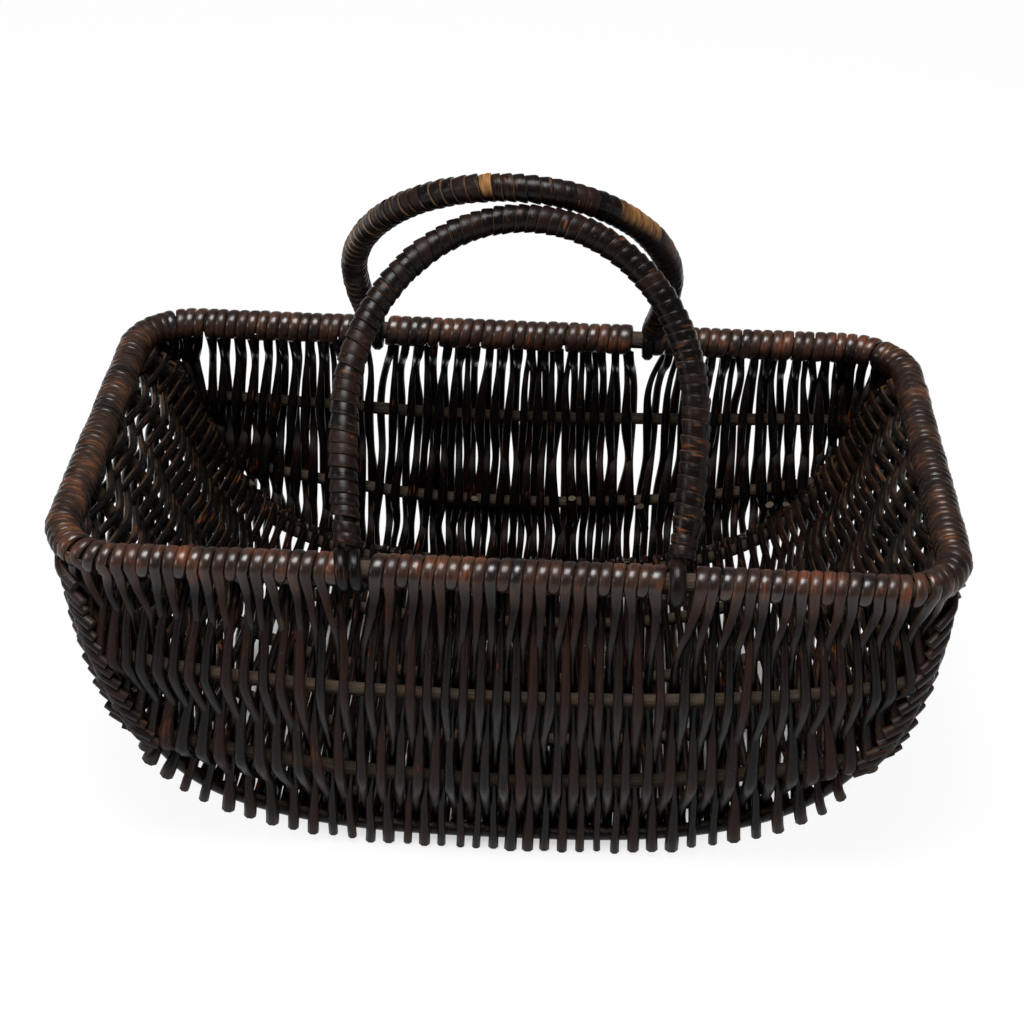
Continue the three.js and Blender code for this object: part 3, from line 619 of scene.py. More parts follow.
def wall_rods(side, seed, unruly, lean_most):
    """Paths of one wall's rods below the rim, with what the pieces that join them need to know.

    phase counts the ribs that a rod has passed. It stands off by way * 6 mm * swing(phase), and
    leans to the end of the basket by lean * zigzag, where lean grows from 0.5 mm in the middle of
    the wall to lean_most at its left end, and to 0.6 of that at its right end. Near these ends
    the last 9 mm of a rod bend from its own direction to the edge's normal, by d^2 / 36."""
    chance = np.random.default_rng(seed)
    p = np.linspace(-1, 1, RODS)[:, None]
    starts_out = (np.arange(RODS) % 2 == 0)[:, None]
    way = np.where(starts_out, 1.0, -1.0)
    top = clear_of_feet(side, TOP_HALF * p)
    along = TOP_HALF * p + SPREAD * p * p * p
    foot_x, foot_z = on_curve(EDGE, along)
    length = np.hypot(foot_x - top, RIM_HEIGHT - foot_z)
    butt, hidden = butt_lengths(p, starts_out, chance)
    q = np.linspace(0, 1.0, STATIONS)[None, :] * (1 + butt / length)
    first, meets_first = where_it_meets(UPPER, top, foot_x, foot_z)
    second, meets_second = where_it_meets(LOWER, top, foot_x, foot_z)
    phase = share_between(q, 0, first)
    phase = phase + meets_first * share_between(q, first, second)
    phase = phase + meets_second * share_between(q, second, np.ones_like(second))
    past = np.maximum(q - 1, 0) * length

    drift = rod_drift(p, way, unruly, chance)
    most = lean_most * np.where(p > 0, RIGHT_LEAN, 1)
    lean = MIDDLE_LEAN + (most - MIDDLE_LEAN) * smooth((np.abs(p) - 0.28) / 0.36)
    lean = lean * chance.uniform(0.7, 1.25, p.shape)
    lean = lean * np.clip(length / 70, 0.3, 1)
    leaning = np.sign(p) * lean * (zigzag(phase + (1 - way) / 2) - (1 - np.minimum(q, 1)))
    sideways = through(drift, phase * 2 + past * 0.03) + leaning

    near_x, near_z = on_curve(EDGE, along + np.where(p < 0, -1, 1))
    normal = unit(np.stack([foot_z - near_z, near_x - foot_x], -1))
    normal = normal * np.where(p < 0, 1, -1)[..., None]
    ahead = np.stack([foot_x - top, foot_z - RIM_HEIGHT], -1) / length[..., None]
    beyond = (q - 1) * length
    bend = np.abs(p) ** 1.5 * np.maximum(beyond + BENT_END, 0) ** 2 / 36
    closing = under_the_feet(side, top) * smooth(q * (RIM_HEIGHT - foot_z) / 45)
    closing = closing * (1 - np.minimum(q, 1))
    x = top + (foot_x - top) * q + closing + sideways + bend * (normal - ahead)[..., 0]
    z = RIM_HEIGHT + (foot_z - RIM_HEIGHT) * q + bend * (normal - ahead)[..., 1]
    woven = way * STAND_OFF * swing(phase) - way * 0.05 * past
    at_rim = np.where(starts_out, 7.0, -4.6) - bulge(x, z)
    off = woven + (at_rim - woven) * (1 - smooth((RIM_HEIGHT - z) / 26))
    path, out = on_wall(side, x, np.maximum(z, 0.3 + 0.12 * butt), off)

    pinch = (0.5 - 0.5 * np.cos(2 * np.pi * np.minimum(phase, 3))) * np.clip(length / 110, 0, 1)
    dive_sheen = smooth((0.5 - way * swing(phase)) / 0.6) * smooth((way * swing(phase) + 0.4) / 0.3)
    return {
        "path": path, "out": out, "outer": starts_out[:, 0], "below": RIM_HEIGHT - z,
        "squeeze": 1 - pinch, "phase": phase,
        # painted shade: a rod's tone falls to 0.15 of itself where it passes inside the wall,
        # behind its neighbours
        "painted_shade_tone": 0.15 + 0.85 * smooth(0.75 + 0.8 * way * swing(phase)),
        "bare": 0.65 * smooth((beyond - butt + 9) / 8) * np.where(hidden, 0, 1),
        # painted sheen: where a rod turns inwards its colour is later lightened to grey, for the
        # floor's reflection
        "dive_sheen": 0.75 * dive_sheen * (way * np.sin(np.pi * phase) > 0) * (past <= 0),
    }


for name, wall in WALLS.items():
    rods = wall_rods(wall["side"], wall["seed"], wall["unruly"], wall["lean_most"])
    wall["rods"] = rods
    print(name, "wall's rods, lowest at", rods["path"][..., 2].min().round(1), "mm")

# %% [markdown]
# The weave runs out before it reaches a wall's lower corners, so short rods were let in there.
# Each starts under the weave, comes out over the edge rib, and is cut off a little further on.

# %% Fill a wall's corners
LEFT_CORNER = np.arange(-294.0, -196, 6.6)
RIGHT_CORNER = np.arange(200.0, 294, 7.4)
UNDER_WEAVE = 20


def corner_rods(side, seed):
    """Paths of the short rods that fill a wall's corners, from under the weave past the edge rib.

    Each follows the edge's normal plus 0.9 of straight down, and its end is cut 5 to 7 mm out. It
    stands off by 1 mm + 5.4 mm * smooth((d + 12) / 11), where d is how far out it has come."""
    chance = np.random.default_rng(seed)
    along = np.concatenate([LEFT_CORNER, RIGHT_CORNER])[:, None]
    along = along + chance.uniform(-0.9, 0.9, along.shape)
    x, z = on_curve(EDGE, along)
    near_x, near_z = on_curve(EDGE, along + np.sign(along))
    out = unit(np.stack([z - near_z, near_x - x], -1)) * np.sign(along)[..., None]
    out = unit(out + np.array([0, -0.9]))
    reach = np.linspace(-UNDER_WEAVE, 1, 12)[None, :]
    further = chance.uniform(4.2, 6.4, along.shape)
    reach = reach + further * (reach + UNDER_WEAVE) / (1 + UNDER_WEAVE)
    off = 1.0 + 5.4 * smooth((reach + 12) / 11) + chance.uniform(-0.6, 0.4, along.shape)
    return on_wall(side, x + out[..., 0] * reach, z + out[..., 1] * reach, off)


print("rods at a wall's corners:", len(LEFT_CORNER), "and", len(RIGHT_CORNER))

# %% [markdown]
# The wrapped top of an outer rod is an arc round the rim: it starts under the inside, goes over
# the top and comes down outside, where the rod carries on. It is flattest there, about 6 mm wide,
# and is round again 17 mm below. About every fourth band on the rim is another rod's top, which
# ends in a rounded tip under the rim. Both kinds are laid out together so that they fill the rim,
# and all lean a little the same way, as they do when one pair of hands works round the hoop.

# %% Lay bands round the rim
ARC_STEPS, TIP_STEPS = 16, 22
BANDS_PER_TAIL = 1.36
BAND_RADIUS = 7.1
BAND_THICKNESS = 2.9
WIDEST_BAND = 7.4
BAND_START, TAIL_END, TIP_END = 285, 4, -54
TIP_TAPER = (0.97, 0.88, 0.55)


def lay_bands(side, count, chance):
    """Each band's middle, width and slant, and which bands are the tops of count rods."""
    bands = int(round(count * BANDS_PER_TAIL))
    tails = np.linspace(0, bands - 1, count).round().astype(int)
    centres = clear_of_feet(side, np.linspace(-TOP_HALF, TOP_HALF, bands))
    centres = centres + chance.uniform(-0.35, 0.35, bands)
    width = np.minimum(np.gradient(centres), WIDEST_BAND) * chance.uniform(0.94, 1.03, bands)
    slant = -side * chance.uniform(0.9, 1.9, bands)
    return np.stack([centres, width, slant])[..., None], tails


def round_the_rim(side, centre, slant, end, steps, radius):
    """Arcs round the rim from 285 degrees to end, that move by slant in each quarter turn."""
    arc = np.radians(np.linspace(BAND_START, end, steps))[None, :] + np.zeros((len(centre), 1))
    return on_rim(side, centre + slant * (arc / (np.pi / 2) - 0.6), arc, radius + 0 * arc)


def make_rim_bands(name, side, bands, chance, seed):
    """The bands that end in a rounded tip, 54 degrees down the outside of the rim."""
    centres, width, slant = bands
    path, out = round_the_rim(side, centres, slant, TIP_END, TIP_STEPS, BAND_RADIUS + 0.1)
    taper = np.ones(TIP_STEPS)
    taper[-3:] = TIP_TAPER
    tone = chance.uniform(0.1, 1.0, len(centres))
    nodes = [f"{name}_{part}_rim_wrap" for part in ("middle", "right", "left")]
    make_piece(f"{name}_rim_bands", nodes, "bound_willow", VARNISHED_ROD, path, out, width * taper,
               BAND_THICKNESS * taper, tone, seed=seed, marks={"rub": 1.0}, sides=12, fullness=2.5)


# %% Make the long walls
# The station at which an outer rod's own path takes over from the arc round the rim.
SHAFT = 4


def rod_girths(rods, outer, slimmest, chance):
    """Each rod's girth at each station, and how light its wood is there, darkened as painted shade
    where the rod lies inside the wall.

    The girth lies between slimmest and a crest 1.1 to 1.8 mm thicker, by how far the rod is
    squeezed. An outer rod is slimmer at phase 0.45, and near the ends of the wall rods are up to a
    fifth thicker below the upper rib."""
    knots = np.linspace(0, 11, STATIONS)[None, :]
    swell = 1 + 0.04 * through(chance.uniform(-1, 1, (RODS, 12)), knots)
    crest = slimmest + np.linspace(1.1, 1.8, STATIONS)
    crest = crest * chance.uniform(0.86, 1.12, (RODS, 1)) * swell
    girth = slimmest + (crest - slimmest) * rods["squeeze"]
    tail = outer[:, None] * np.exp(-(((rods["phase"] - 0.45) / 0.3) ** 2))
    butt = smooth((rods["phase"] - 2.4) / 0.4) * chance.uniform(-0.32, 0.14, (RODS, 1))
    ends = smooth((np.abs(np.linspace(-1, 1, RODS))[:, None] - 0.25) / 0.35)
    girth = girth * (1 - 0.25 * tail) * (1 + butt) * (1 + 0.2 * ends * smooth(rods["phase"] - 0.8))
    # The tone is multiplied by the painted shade, which darkens a rod where it lies inside the
    # wall.
    return girth, chance.uniform(0.1, 1.0, (RODS, 1)) ** 1.2 * rods["painted_shade_tone"]


def add_outer_rods(wall, side, rods, bands, chance, seed):
    """Rods that start outside: a flat band over the rim that goes over into the rod below.

    Every measure of the band is joined to the rod's, which takes over in the first 17 mm."""
    centres, wide, slant = bands
    count = len(centres)
    lift = chance.uniform(-0.1, 0.3, (count, 1))
    over, over_out = round_the_rim(side, centres, slant, TAIL_END, ARC_STEPS, BAND_RADIUS + lift)
    shaft = {key: values[:, SHAFT:] for key, values in rods.items()}
    below = shaft["path"].copy()
    shift = centres - rods["path"][:, :1, 0]
    below[..., 0] += shift * (1 - smooth(np.linspace(0, 3.4, STATIONS)))[None, SHAFT:]
    slim = smooth((shaft["below"] + 2) / 19)

    def joined(arc, rest):
        arc = np.broadcast_to(arc, (count, ARC_STEPS, *rest.shape[2:]))
        return np.concatenate([arc, rest], axis=1)

    width = joined(wide, wide + (shaft["girth"] - wide) * slim)
    depth = joined(BAND_THICKNESS, BAND_THICKNESS + (0.9 * shaft["girth"] - BAND_THICKNESS) * slim)
    marks = {mark: joined(0.0, shaft[mark]) for mark in ("bare", "dive_sheen")}
    marks["rub"] = joined(1.0, 1 - smooth((shaft["below"] - 4) / 10))
    tone = joined(rods["tone"][:, :1], shaft["tone"])
    path, out = joined(over, below), joined(over_out, shaft["out"])
    wall.add(path, out, width, depth, tone, (0, 1), seed, marks=marks, sides=12, fullness=2.3)


def make_wall(name, side, seed, slimmest, rods):
    """One wall: rods that wrap the rim, rods between them, corner rods, and the other bands."""
    chance = np.random.default_rng(seed + 1)
    outer = rods.pop("outer")
    rods["girth"], rods["tone"] = rod_girths(rods, outer, slimmest, chance)
    bands, tails = lay_bands(side, int(outer.sum()), chance)
    wall = Willow()
    outside = {key: values[outer] for key, values in rods.items()}
    add_outer_rods(wall, side, outside, bands[:, tails], chance, seed)
    inside = {key: values[~outer][:, 1:] for key, values in rods.items()}
    marks = {mark: inside[mark] for mark in ("bare", "dive_sheen")}
    girth = inside["girth"]
    wall.add(inside["path"], inside["out"], girth, 0.92 * girth, inside["tone"], (0, 1), seed + 2,
             marks=marks)
    short, short_out = corner_rods(side, seed + 4)
    girth = chance.uniform(4.8, 6.5, (len(short), 1))
    wall.add(short, short_out, girth, girth, chance.uniform(0.2, 0.9, len(short)), (0, 1), seed + 5)
    nodes = [f"{name}_wall_weave"]
    wall.piece(f"{name}_wall_rods", "basket", nodes, VARNISHED_ROD)
    others = np.setdiff1d(np.arange(bands.shape[1]), tails)
    make_rim_bands(name, side, bands[:, others], chance, seed + 3)


for name, wall in WALLS.items():
    make_wall(name, wall["side"], wall["seed"], wall["slimmest"], wall["rods"])

# %% [markdown]
# Inside the back wall a few cut butts show beside the lower rib, where rods were let in. They
# follow no order, so each is given one by one.

# %% Let in the butts inside the back wall
# The end's x and z, how far the butt leans, its girth, all in millimetres, and its tone.
STUBS = np.array([
    (-161.0, 59.8, -15.0, 6.4, 0.4),
    (-25.4, 53.2, -3.0, 4.8, 0.3),
    (33.1, 55.8, 2.0, 4.8, 0.5),
    (74.3, 52.4, 4.0, 5.0, 0.2),
    (151.9, 58.6, 6.0, 5.2, 0.4),
    (162.0, 59.5, -4.0, 4.8, 0.3),
])
STUB_RISE = 17


def make_inner_stubs():
    """Butts that rise 17 mm and come inwards by 5.5 mm, from 4 mm inside the back wall."""
    x, z, lean, girth, tone = STUBS.T[..., None]
    t = np.linspace(0, 1, 8)[None, :]
    path, out = on_wall(1, x + lean * (1 - t), z - STUB_RISE * (1 - t), -4.0 - 5.5 * t)
    make_piece("back_wall_stubs", [], "varnished_willow", VARNISHED_ROD, path, out, girth, girth,
               tone, cut=(0, 1), seed=301)


make_inner_stubs()

# %% [markdown]
# ## Ribs
#
# The ribs are thicker, unpeeled rods. The wall ribs are shallow arcs that run on past the edge rib
# by 8 to 10 mm, and are cut there. A little waviness, worked out from a few sines with random
# phases, keeps them from looking drawn with a ruler. The edge rib was stained and varnished like
# the rods.

# %% Make the walls' ribs
RIB_REACH = {"upper": 208.0, "lower": 193.0}
LEFT_SHORTER = 6


def waviness(count, stations, size, seed):
    """Three sines of falling height and random phase for each path, along two directions."""
    chance = np.random.default_rng(seed)
    t = np.linspace(0, 1, stations)[None, :, None]
    waves = [
        np.sin(2 * np.pi * (turns * t + chance.uniform(0, 1, (count, 1, 2)))) / turns
        for turns in (2.3, 5.1, 9.7)
    ]
    return size * sum(waves)


def make_wall_ribs(name, side, seed):
    """The upper and lower rib of one wall, and its D-shaped edge rib."""
    chance = np.random.default_rng(seed)
    for label, (drop, rise) in (("upper", UPPER), ("lower", LOWER)):
        reach = RIB_REACH[label]
        x = np.linspace(-reach + LEFT_SHORTER, reach, 90)[None, :]
        wave = waviness(1, 90, 0.5, seed + int(drop))
        z = rib_height(drop, rise, x) + wave[..., 0]
        off = 1.5 * smooth((np.abs(x) - reach + 26) / 20)
        path, out = on_wall(side, x, z, off + wave[..., 1] * 0.4)
        girth = RIB + 0.35 * np.sin(x / 31 + chance.uniform(0, 6))
        make_piece(f"{name}_{label}_wall_rib", [f"{name}_{label}_rib"], "weathered_willow",
                   BARE_RIB, path, out, girth, girth, [0.8], cut=(1, 1), seed=seed + int(rise),
                   sides=10)
    along = np.linspace(-EDGE[0][-1] + 6, EDGE[0][-1] - 6, 150)[None, :]
    x, z = on_curve(EDGE, along)
    path, out = on_wall(side, x, z, 0 * x)
    make_piece(f"{name}_edge_wall_rib", [f"{name}_edge_rib"], "weathered_willow", VARNISHED_ROD,
               path, out, EDGE_RIB, EDGE_RIB, [0.3], seed=seed + 5, sides=10)


make_wall_ribs("front", -1, 41)
make_wall_ribs("back", 1, 57)

# %% [markdown]
# ## Floor and ends
#
# One strip of thin cross rods runs from rim to rim, woven over and under five lengthwise ribs and
# beaten down close. In the bends and the ends a rod lies a little nearer the end's rim where it
# passes outside a rib, and a little further from it inside, so the rods close up in slanting
# pairs. The swing of the wall rods draws them too.

# %% Make the cross rods
CROSS_PITCH = 3.75
STRIP_TOP = 296.0
RIB_PITCH = 0.45
CROSS_STAND_OFF, CROSS_END_OFF = 5.5, 4.5
CROSS_LEAN = 0.9
PANELS = (
    "left_end", "left_upper_bend", "left_lower_bend", "floor",
    "right_lower_bend", "right_upper_bend", "right_end",
)
PANEL_ENDS = (-1.0, -0.807, -0.604, -0.4, 0.4, 0.604, 0.807, 1.01)


def on_strip(along, share, off):
    """Points off millimetres outside the floor strip, and the way out there.

    x and z come from the strip's curve, y is share times the wall's half width, and the way out is
    the curve's own normal. The last 35 mm lean out by 7 mm, so that the strip ends in the rim."""
    x, z = on_curve(FLOOR, along)
    x = x + 7 * np.sign(along) * smooth((z - RIM_HEIGHT + 35) / 35)
    ahead_x, ahead_z = on_curve(FLOOR, along + 0.5)
    behind_x, behind_z = on_curve(FLOOR, along - 0.5)
    out = unit(np.stack([ahead_z - behind_z, np.zeros_like(x), -(ahead_x - behind_x)], axis=-1))
    y = share * (plan_half_width(x) + bulge(x, z) - 4.0)
    return np.stack([x, y, z], axis=-1) + out * np.asarray(off)[..., None], out


def make_cross_rods():
    """Each panel's rods: over and under the ribs by turns, drifting a little along the strip.

    A rod stands off by way * 5.5 mm * swing(share / 0.45), where 0.45 of the half width lies
    between two ribs, and its ends come to 4.5 mm outside. The left panels' rods are darker, as
    painted shade for the inside of the left end."""
    chance = np.random.default_rng(71)
    total = int(2 * STRIP_TOP / CROSS_PITCH)
    place = np.linspace(-1, 1, total)
    share = np.linspace(-1.0, 1.0, 41)[None, :]
    for label, low, high in zip(PANELS, PANEL_ENDS, PANEL_ENDS[1:]):
        chosen = (place >= low) & (place < high)
        rows = int(chosen.sum())
        way = np.where(np.arange(total)[chosen] % 2 == 0, 1.0, -1.0)[:, None]
        drift = through(chance.uniform(-0.8, 0.8, (rows, 12)), (share + 1) / 2 * 11 + 0 * way)
        wide = share * chance.uniform(1.01, 1.045, (rows, 1))
        bend_here = smooth((np.abs(place[chosen])[:, None] - 0.35) / 0.2)
        off = way * CROSS_STAND_OFF * swing(np.minimum(np.abs(wide) / RIB_PITCH, 2))
        off = off + (CROSS_END_OFF - off) * smooth((np.abs(share) - 0.91) / 0.08)
        lean = way * (CROSS_LEAN * bend_here) * swing(wide / RIB_PITCH)
        lean = lean * np.sign(place[chosen])[:, None]
        path, out = on_strip(STRIP_TOP * place[chosen][:, None] + drift + lean, wide, off)
        squeeze = 0.5 + 0.5 * np.cos(2 * np.pi * share / RIB_PITCH)
        girth = (4.1 + 0.4 * squeeze) * chance.uniform(0.9, 1.1, (rows, 1))
        # The left panels get darker tones: painted shade for the inside of the left end.
        lightest = 0.2 if label.startswith("left") else 0.45
        tone = chance.uniform(0, lightest, rows)
        make_piece(f"{label}_cross_rods", [f"{label}_weave"], "varnished_willow", VARNISHED_ROD,
                   path, out, girth, girth, tone, cut=(1, 1), seed=80 + rows)


make_cross_rods()

# %% [markdown]
# The lengthwise ribs are the strip's own lines, five of them, and each wavers sideways a little.
# They stop 1 mm before the curve's end, because past it the way out can't be worked out.

# %% Make the lengthwise ribs
END_GAP = 1


def make_floor_ribs():
    """The five lengthwise ribs, which run up to the underside of both end rims."""
    along = np.linspace(END_GAP - FLOOR[0][-1], FLOOR[0][-1] - END_GAP, 140)[None, :]
    for i, share in enumerate(RIB_PITCH * np.arange(-2, 3)):
        path, out = on_strip(along, np.full_like(along, share), 0 * along)
        path = path + waviness(1, 140, 0.4, 130 + i)[..., [0, 1, 0]] * np.array([0, 1, 0])
        make_piece(f"lengthwise_rib_{i + 1}", [f"floor_rib_{i + 1}"], "weathered_willow", BARE_RIB,
                   path, out, RIB, RIB, [0.5], seed=140 + i, sides=10)


make_floor_ribs()

# %% [markdown]
# ## Rim rod and end bindings
#
# The rim rod is a closed hoop, bare only beside the handles' feet. At both ends it is bound with
# split strip in a close spiral, 4 to 6.5 mm a turn, which also takes in the corners. A spiral is a
# circle that turns while it moves along the rim, so its path is one long array.

# %% Lines and spirals round the rim
CORNER_LENGTH = math.pi / 2 * RIM_CORNER
STEPS_PER_TURN = 20


def rim_line(s):
    """The rim's centreline over its right half, and the way out, at length s.

    s is 0 in the middle of the right end and grows towards the back: first straight along Y, then
    round the corner, then straight along X."""
    beyond = np.abs(s) - STRAIGHT_Y
    angle = np.clip(beyond / RIM_CORNER, 0, math.pi / 2)
    after = np.maximum(beyond - CORNER_LENGTH, 0)
    out = np.stack([np.cos(angle), np.sin(angle) * np.sign(s), 0 * s], axis=-1)
    x = STRAIGHT_X + RIM_CORNER * np.cos(angle) - after
    y = np.sign(s) * (np.minimum(np.abs(s), STRAIGHT_Y) + RIM_CORNER * np.sin(angle))
    return np.stack([x, y, np.full_like(s, RIM_HEIGHT)], axis=-1), out


def coil(centre, one, two, radius, turns):
    """A path that goes round a line: centre + radius * (cos * one + sin * two) of turns."""
    angle = 2 * math.pi * turns[..., None]
    out = np.cos(angle) * one + np.sin(angle) * two
    return centre + np.asarray(radius)[..., None] * out, out


def per_turn(chance, t, low, high):
    """A random figure for each turn of a spiral, read smoothly at turns t."""
    last = int(np.ceil(t.max())) + 1
    return np.interp(t, np.arange(last + 1), chance.uniform(low, high, last + 1))


quarter = STRAIGHT_Y + CORNER_LENGTH + STRAIGHT_X
print("the rim rod's length:", round(4 * quarter), "mm")

# %% Make the rim rod and its spirals
SPIRAL_STEP = 5.2
SPIRAL_RADIUS, SPIRAL_THICKNESS = 7.0, 3.2
SPIRAL_ENDS = {"right": (1.0, 160), "left": (-1.0, 170)}


def make_rim():
    """The bare hoop, and a spiral over each end that stops 20 mm before its corners' ends."""
    s = np.linspace(-quarter, quarter, 121)[:-1]
    half, half_out = rim_line(s)
    flip = np.array([-1.0, -1.0, 1.0])
    line = np.concatenate([half, half * flip])[None]
    out = np.broadcast_to(UPWARDS, line.shape)
    make_piece("bare_rim_rod", ["rim_rod"], "weathered_willow", BARE_RIB, line, out, RIM_ROD,
               RIM_ROD, [0.75], seed=150, closed=True, sides=12)
    reach = STRAIGHT_Y + CORNER_LENGTH - 20
    for label, (turned, seed) in SPIRAL_ENDS.items():
        chance = np.random.default_rng(seed)
        turns = int(2 * reach / SPIRAL_STEP)
        t = np.linspace(0, turns, turns * STEPS_PER_TURN)
        steps = np.cumsum(np.concatenate([[0], chance.uniform(3.9, 6.5, turns)]))
        s = -reach + 2 * reach * np.interp(t, np.arange(turns + 1), steps) / steps[-1]
        centre, side_out = rim_line(s)
        uneven = per_turn(chance, t, -0.25, 0.45)
        path, out = coil(centre, side_out, UPWARDS, SPIRAL_RADIUS + uneven, t)
        wide = np.gradient(s, t) * per_turn(chance, t, 1.02, 1.16)
        tone = per_turn(chance, t, 0.1, 1.0)
        flip = np.array([turned, turned, 1.0])
        make_piece(f"{label}_rim_binding", [f"{label}_rim_wrap"], "bound_willow", WOUND_STRIP,
                   (path * flip)[None], (out * flip)[None], wide[None], SPIRAL_THICKNESS,
                   tone[None], seed=seed, marks={"rub": 0.6}, fullness=2.6, roll=0.12)


make_rim()

# %% [markdown]
# ## Handles
#
# A handle is a rod bent to an arch. At each foot it is turned round the rim, which is what the
# handle swings on. The back one's feet are closed eyes. The front one's left foot is two turns side
# by side, and its right foot an open hook, cut off blunt. The arch is worked out flat, with its
# legs bowed outwards and a half ellipse on top, resampled to even steps, and then leaned over to
# where the two handles rest on each other.

# %% A handle's arch
LEG = 78.0
HALF_SPREAD = 84.0
HANDLES = {
    "front": {
        "side": -1, "seed": 201, "rise": 96.0, "lean": 41.235,
        "feet": {-1: "two turns", 1: "hook"}, "worn": [(0.03, 0.01, 0.4)],
    },
    "back": {
        "side": 1, "seed": 231, "rise": 105.5, "lean": 38.684,
        "feet": {-1: "eye", 1: "eye"},
        "worn": [(0.055, 0.022, 1.0), (-0.36, 0.085, 0.8), (-0.52, 0.05, 0.3)],
    },
}


def leg_spread(v):
    """A leg's half spread at height v, from 77 mm at the rim to 84 mm: with 1 - (1 - v / 78)^2."""
    return FOOT_SPREAD / 2 + (HALF_SPREAD - FOOT_SPREAD / 2) * (1 - (1 - v / LEG) ** 2)


def arch(rise, start, count):
    """A handle's centreline in its own plane, from height start on one leg to the other.

    The legs are followed by an ellipse, HALF_SPREAD * cos(a) across and LEG + rise * sin(a) up."""
    v = np.linspace(start, LEG, 60)
    leg = leg_spread(v)
    a = np.linspace(0, np.pi, 180)[1:-1]
    u = np.concatenate([leg, HALF_SPREAD * np.cos(a), -leg[::-1]])
    v = np.concatenate([v, LEG + rise * np.sin(a), v[::-1]])
    along = np.concatenate([[0], np.cumsum(np.hypot(np.diff(u), np.diff(v)))])
    even = np.linspace(0, along[-1], count)
    return np.interp(even, along, u), np.interp(even, along, v), along[-1]


def leaned(handle, u, v, w):
    """Turns a handle's own u across, v up and w towards the outside into places on the basket.

    v leans inwards from the foot, and w is square to it: y and z turn by the lean."""
    lean = math.radians(handle["lean"])
    inwards = v * math.sin(lean) - w * math.cos(lean)
    y = handle["side"] * (RIM_WIDTH / 2 - inwards)
    z = RIM_HEIGHT + v * math.cos(lean) + w * math.sin(lean)
    return np.stack([HANDLE_SHIFT[handle["side"]] + u, y, z], axis=-1)


for name, handle in HANDLES.items():
    print(name, "handle's rod:", round(arch(handle["rise"], 0.0, 90)[2]), "mm")

# %% Make the handles' rods and feet
HANDLE_ROD = 8.6
EYE_RADIUS, HOOK_RADIUS = 8.6, 8.9
SIDE_STEP = 6.3


def add_foot(core, handle, way):
    """What goes round the rim at a foot: a circle, two turns, or 0.72 of a turn, cut off blunt."""
    kind, side, seed = handle["feet"][way], handle["side"], handle["seed"]
    t = {
        "eye": np.linspace(0, 1, STEPS_PER_TURN + 1)[:-1],
        "two turns": np.linspace(0, 2, 2 * STEPS_PER_TURN + 1),
        "hook": np.linspace(0.02, 0.74, 22),
    }[kind]
    aside = (t - 1) * SIDE_STEP * (kind == "two turns")
    x = HANDLE_SHIFT[side] + way * FOOT_SPREAD / 2 + aside
    y, z = np.full_like(t, side * RIM_WIDTH / 2), np.full_like(t, RIM_HEIGHT)
    radius = (HOOK_RADIUS if kind == "hook" else EYE_RADIUS) + 0 * t
    inwards = np.array([0, -side, 0.0])
    ring, out = coil(np.stack([x, y, z], axis=-1), inwards, UPWARDS, radius, t)
    ring, out = ring[None], out[None]
    if kind == "eye":
        core.add(ring, out, 6.6, 6.2, [0.15], seed=seed + 4, closed=True)
    elif kind == "two turns":
        core.add(ring, out, 6.8, 5.6, [0.15], seed=seed + 5)
    else:
        blunt = (8.0 - 3.6 * smooth((t - 0.69) / 0.05))[None]
        core.add(ring, out, blunt, 0.86 * blunt, [0.35], seed=seed + 4, sides=12)


def make_handle_rod(name, handle):
    """The arched rod, from 8 mm above the rim's middle, and its two feet."""
    u, v, _ = arch(handle["rise"], 8.0, 90)
    path = leaned(handle, u, v, 0 * u)[None]
    way_out = leaned(handle, 0.0, 0.0, 1.0) - leaned(handle, 0.0, 0.0, 0.0)
    core = Willow()
    core.add(path, np.broadcast_to(way_out, path.shape), HANDLE_ROD, HANDLE_ROD, [0.3],
             seed=handle["seed"])
    for way in (-1, 1):
        add_foot(core, handle, way)
    nodes = [f"{name}_handle_core"]
    core.piece(f"{name}_handle_rod", f"{name}_handle", nodes, VARNISHED_ROD)


# %% [markdown]
# A strip is wound round the whole arch, 5.7 mm a turn on top and 6.6 mm down the legs, give or
# take a fifth. Each turn lies on the edge of the one before, so the section is rolled by 10
# degrees. Above each foot a few turns of another strip hold the rod together.

# %% Wind the handles' grips and bind their feet
GRIP_STEPS = 1700
GRIP_RADIUS, LOOP_RADIUS = 5.95, 5.6
GRIP_FROM, LOOPS_FROM, LOOPS_RISE = 24.0, 13.0, 10.5
GRIP_THICKNESS, LOOP_THICKNESS = 1.7, 2.2
GRIP_ROLL = 0.17


